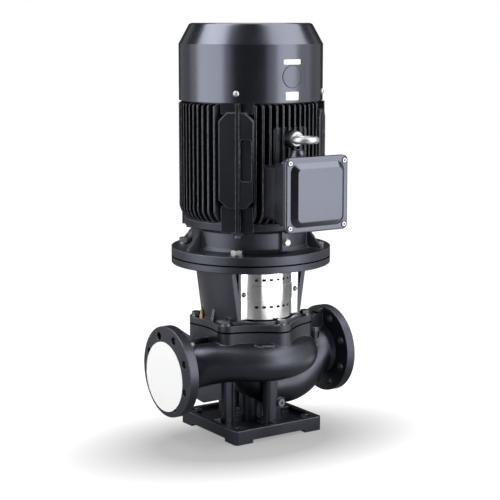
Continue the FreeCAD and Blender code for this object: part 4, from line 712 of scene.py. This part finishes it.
@dataclass(frozen=True)
class Studio:
    """White studio: floor, world, soft boxes and the camera of the photograph.

    Attributes:
        camera_place: Where the camera stands.
        camera_turn: Its rotation in degrees.
        lens: Its focal length in millimetres.
        sensor: Width of its sensor in millimetres.
        clip_end: How far it sees.
        view_azimuth: Where it is, in degrees around the pump.
        aim: The point that the lamps face.
        floor_half: Half the floor's width.
        floor_gap: How far the floor is under the pump.
        floor_shade: The floor's own colour.
        floor_roughness: Its roughness.
        ambient: Brightness of the surroundings.
        seen_by_metal: Brightness of what glossy pieces mirror of the surroundings.
        mirrored_glow: Brightness of the floor's lit zones in glossy pieces.
        lit_end: Distances from the pump over which the lit zones end.
        shade_glow: The floor's glow in the middle of the pump's shade, where 1 is white.
        shade_ahead: The shade's middle, from the pump towards the camera.
        shade_aside: The shade's middle, beside that line.
        shade_tilt: Degrees by which the shade is turned.
        shade_edge: Distances from its middle over which the shade fades.
        shade_stretch: The shade's extent on its first axis over that on its second.
    """

    camera_place: tuple[float, float, float] = (-1.7092, -2.5608, 0.9081)
    camera_turn: tuple[float, float, float] = (80.71, 0.0, -33.69)
    lens: float = 100.74
    sensor: float = 36.0
    clip_end: float = 60.0
    view_azimuth: float = 236.3
    aim: tuple[float, float, float] = (0.0, 0.0, 0.45)
    floor_half: float = 14.0
    floor_gap: float = 0.5 * MM
    floor_shade: float = 0.15
    floor_roughness: float = 0.9
    ambient: float = 0.03
    seen_by_metal: float = 0.03
    mirrored_glow: float = 0.97
    lit_end: Range = (1.1, 1.35)
    shade_glow: float = 0.33
    shade_ahead: float = 0.118
    shade_aside: float = -0.015
    shade_tilt: float = 26.6
    shade_edge: Range = (0.122, 0.312)
    shade_stretch: float = 0.63

    def camera(self) -> None:
        """Places the camera at the photograph's viewing angle."""
        data = bpy.data.cameras.new("camera")
        data.lens = self.lens
        data.sensor_width = self.sensor
        data.clip_end = self.clip_end
        eye = bpy.data.objects.new("camera", data)
        eye.location = self.camera_place
        eye.rotation_euler = [math.radians(angle) for angle in self.camera_turn]
        bpy.context.scene.collection.objects.link(eye)
        bpy.context.scene.camera = eye

    def turned(self, wire: Wiring, turn: float = 0.0, ahead: float = 0.0,
               aside: float = 0.0) -> bpy.types.NodeOutputs:
        """Adds the floor's coordinates in a frame whose X points to the camera before its turn.

        Args:
            wire: The material's wiring.
            turn: Degrees by which the frame is turned.
            ahead: Its origin's distance from the pump towards the camera.
            aside: Its origin's distance beside that line.

        Returns:
            The sockets X, Y and Z.
        """
        facing = math.radians(self.view_azimuth)
        origin = (ahead * math.cos(facing) - aside * math.sin(facing),
                  ahead * math.sin(facing) + aside * math.cos(facing), 0.0)
        place = wire.node("ShaderNodeMapping", vector_type="TEXTURE", Location=origin,
                          Rotation=(0.0, 0.0, facing + math.radians(turn)),
                          Vector=wire.node("ShaderNodeTexCoord").outputs["Object"])
        return wire.node("ShaderNodeSeparateXYZ", Vector=place.outputs[0]).outputs

    def shade(self, wire: Wiring) -> bpy.types.NodeSocket:
        """Draws the soft shade that the camera sees around the foot plate.

        Args:
            wire: The floor's wiring.

        Returns:
            The socket of the floor's glow for the camera.
        """
        axes = self.turned(wire, self.shade_tilt, self.shade_ahead, self.shade_aside)
        away = wire.length(axes["X"], wire.maths("MULTIPLY", axes["Y"], self.shade_stretch))
        return wire.spread(away, self.shade_edge, (self.shade_glow, 1.0))

    def mirrored(self, wire: Wiring) -> bpy.types.NodeSocket:
        """Draws the lit zones that only glossy pieces mirror.

        Args:
            wire: The floor's wiring.

        Returns:
            The socket of the floor's glow for glossy pieces.
        """
        axes = self.turned(wire)
        away = wire.length(axes["X"], axes["Y"])
        sine = wire.maths("DIVIDE", axes["Y"], away)
        zones = [wire.maths("MULTIPLY",
                            wire.spread(sine, (zone.dark, zone.lit), (0.0, self.mirrored_glow)),
                            wire.spread(away, zone.start)) for zone in LIT_ZONES]
        lit = wire.maths("MULTIPLY", wire.maths("ADD", *zones),
                         wire.spread(away, self.lit_end, (1.0, 0.0)))
        return wire.maths("ADD", lit, self.seen_by_metal)

    def floor(self) -> None:
        """Lays the floor: white for the camera past the shade, and lit for glossy pieces."""
        bpy.ops.mesh.primitive_plane_add(size=2 * self.floor_half,
                                         location=(0, 0, -self.floor_gap))
        floor = bpy.context.active_object
        floor.name = "floor"
        material = bpy.data.materials.new("floor_white")
        material.use_nodes = True
        wire = Wiring(material.node_tree)
        shader = wire.tree.nodes["Principled BSDF"].inputs
        shader["Base Color"].default_value = (*(self.floor_shade,) * 3, 1)
        shader["Roughness"].default_value = self.floor_roughness
        shader["Specular IOR Level"].default_value = 0.0
        shader["Emission Color"].default_value = (*WHITE, 1)
        rays = wire.node("ShaderNodeLightPath").outputs
        seen = wire.maths("MULTIPLY", self.shade(wire), rays["Is Camera Ray"])
        glint = wire.maths("MULTIPLY", self.mirrored(wire), rays["Is Glossy Ray"])
        rest = wire.maths("ADD", glint, rays["Is Transmission Ray"])
        wire.join(wire.maths("ADD", seen, rest), shader["Emission Strength"])
        floor.data.materials.append(material)

    def world(self) -> None:
        """Makes the surroundings white for the camera and dark for the rest."""
        world = bpy.data.worlds.new("studio")
        world.use_nodes = True
        bpy.context.scene.world = world
        wire = Wiring(world.node_tree)
        rays = wire.node("ShaderNodeLightPath").outputs
        seen = wire.maths("MULTIPLY", rays["Is Camera Ray"], 1.0 - self.ambient)
        glint = wire.maths("MULTIPLY", rays["Is Glossy Ray"], self.seen_by_metal - self.ambient)
        through = wire.maths("MULTIPLY", rays["Is Transmission Ray"], 1.0 - self.ambient)
        total = wire.maths("ADD", wire.maths("ADD", seen, glint),
                           wire.maths("ADD", through, self.ambient))
        back = wire.tree.nodes["Background"].inputs
        back["Color"].default_value = (*WHITE, 1)
        wire.join(total, back["Strength"])

    def build(self) -> None:
        """Sets up the whole studio."""
        bpy.context.scene.view_settings.view_transform = "Standard"
        self.camera()
        self.floor()
        self.world()
        for box in SOFTBOXES:
            box.hang(self.view_azimuth, Vector(self.aim))


@dataclass(frozen=True)
class Pump:
    """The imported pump, whose nodes take the finish of their slot or one of their own.

    Attributes:
    """

    frame: dict

    def dress(self, finishes: dict[str, bpy.types.Material]) -> None:
        """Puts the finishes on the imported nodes.

        Args:
            finishes: Materials by the name of their finish.
        """
        for part in self.frame["record"]["subparts"]:
            node = self.frame["nodes"][part["node"]]
            finish = NODE_FINISHES.get(part["node"], part["material_slot"])
            node.data.materials.clear()
            node.data.materials.append(finishes[finish])
            LOG.info("%s: %s", part["node"], finish)


def main() -> None:
    """Loads the frame, dresses it, adds the film and labels, and sets up the studio."""
    logging.basicConfig(level=logging.INFO, format="%(message)s")
    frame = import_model()
    bpy.context.view_layer.update()
    for make in (cast_skin_group, brushed_group, edge_group):
        make()
    Pump(frame).dress({name: finish.material() for name, finish in FINISHES.items()})
    film = FlangeFilm().build(FILM.material())
    paper = LABEL.material()
    labels = [label.build(paper) for label in LABELS]
    for piece in (film, *labels):
        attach(piece, "pump")
    Studio().build()
    bpy.context.view_layer.update()


if __name__ == "__main__":
    main()
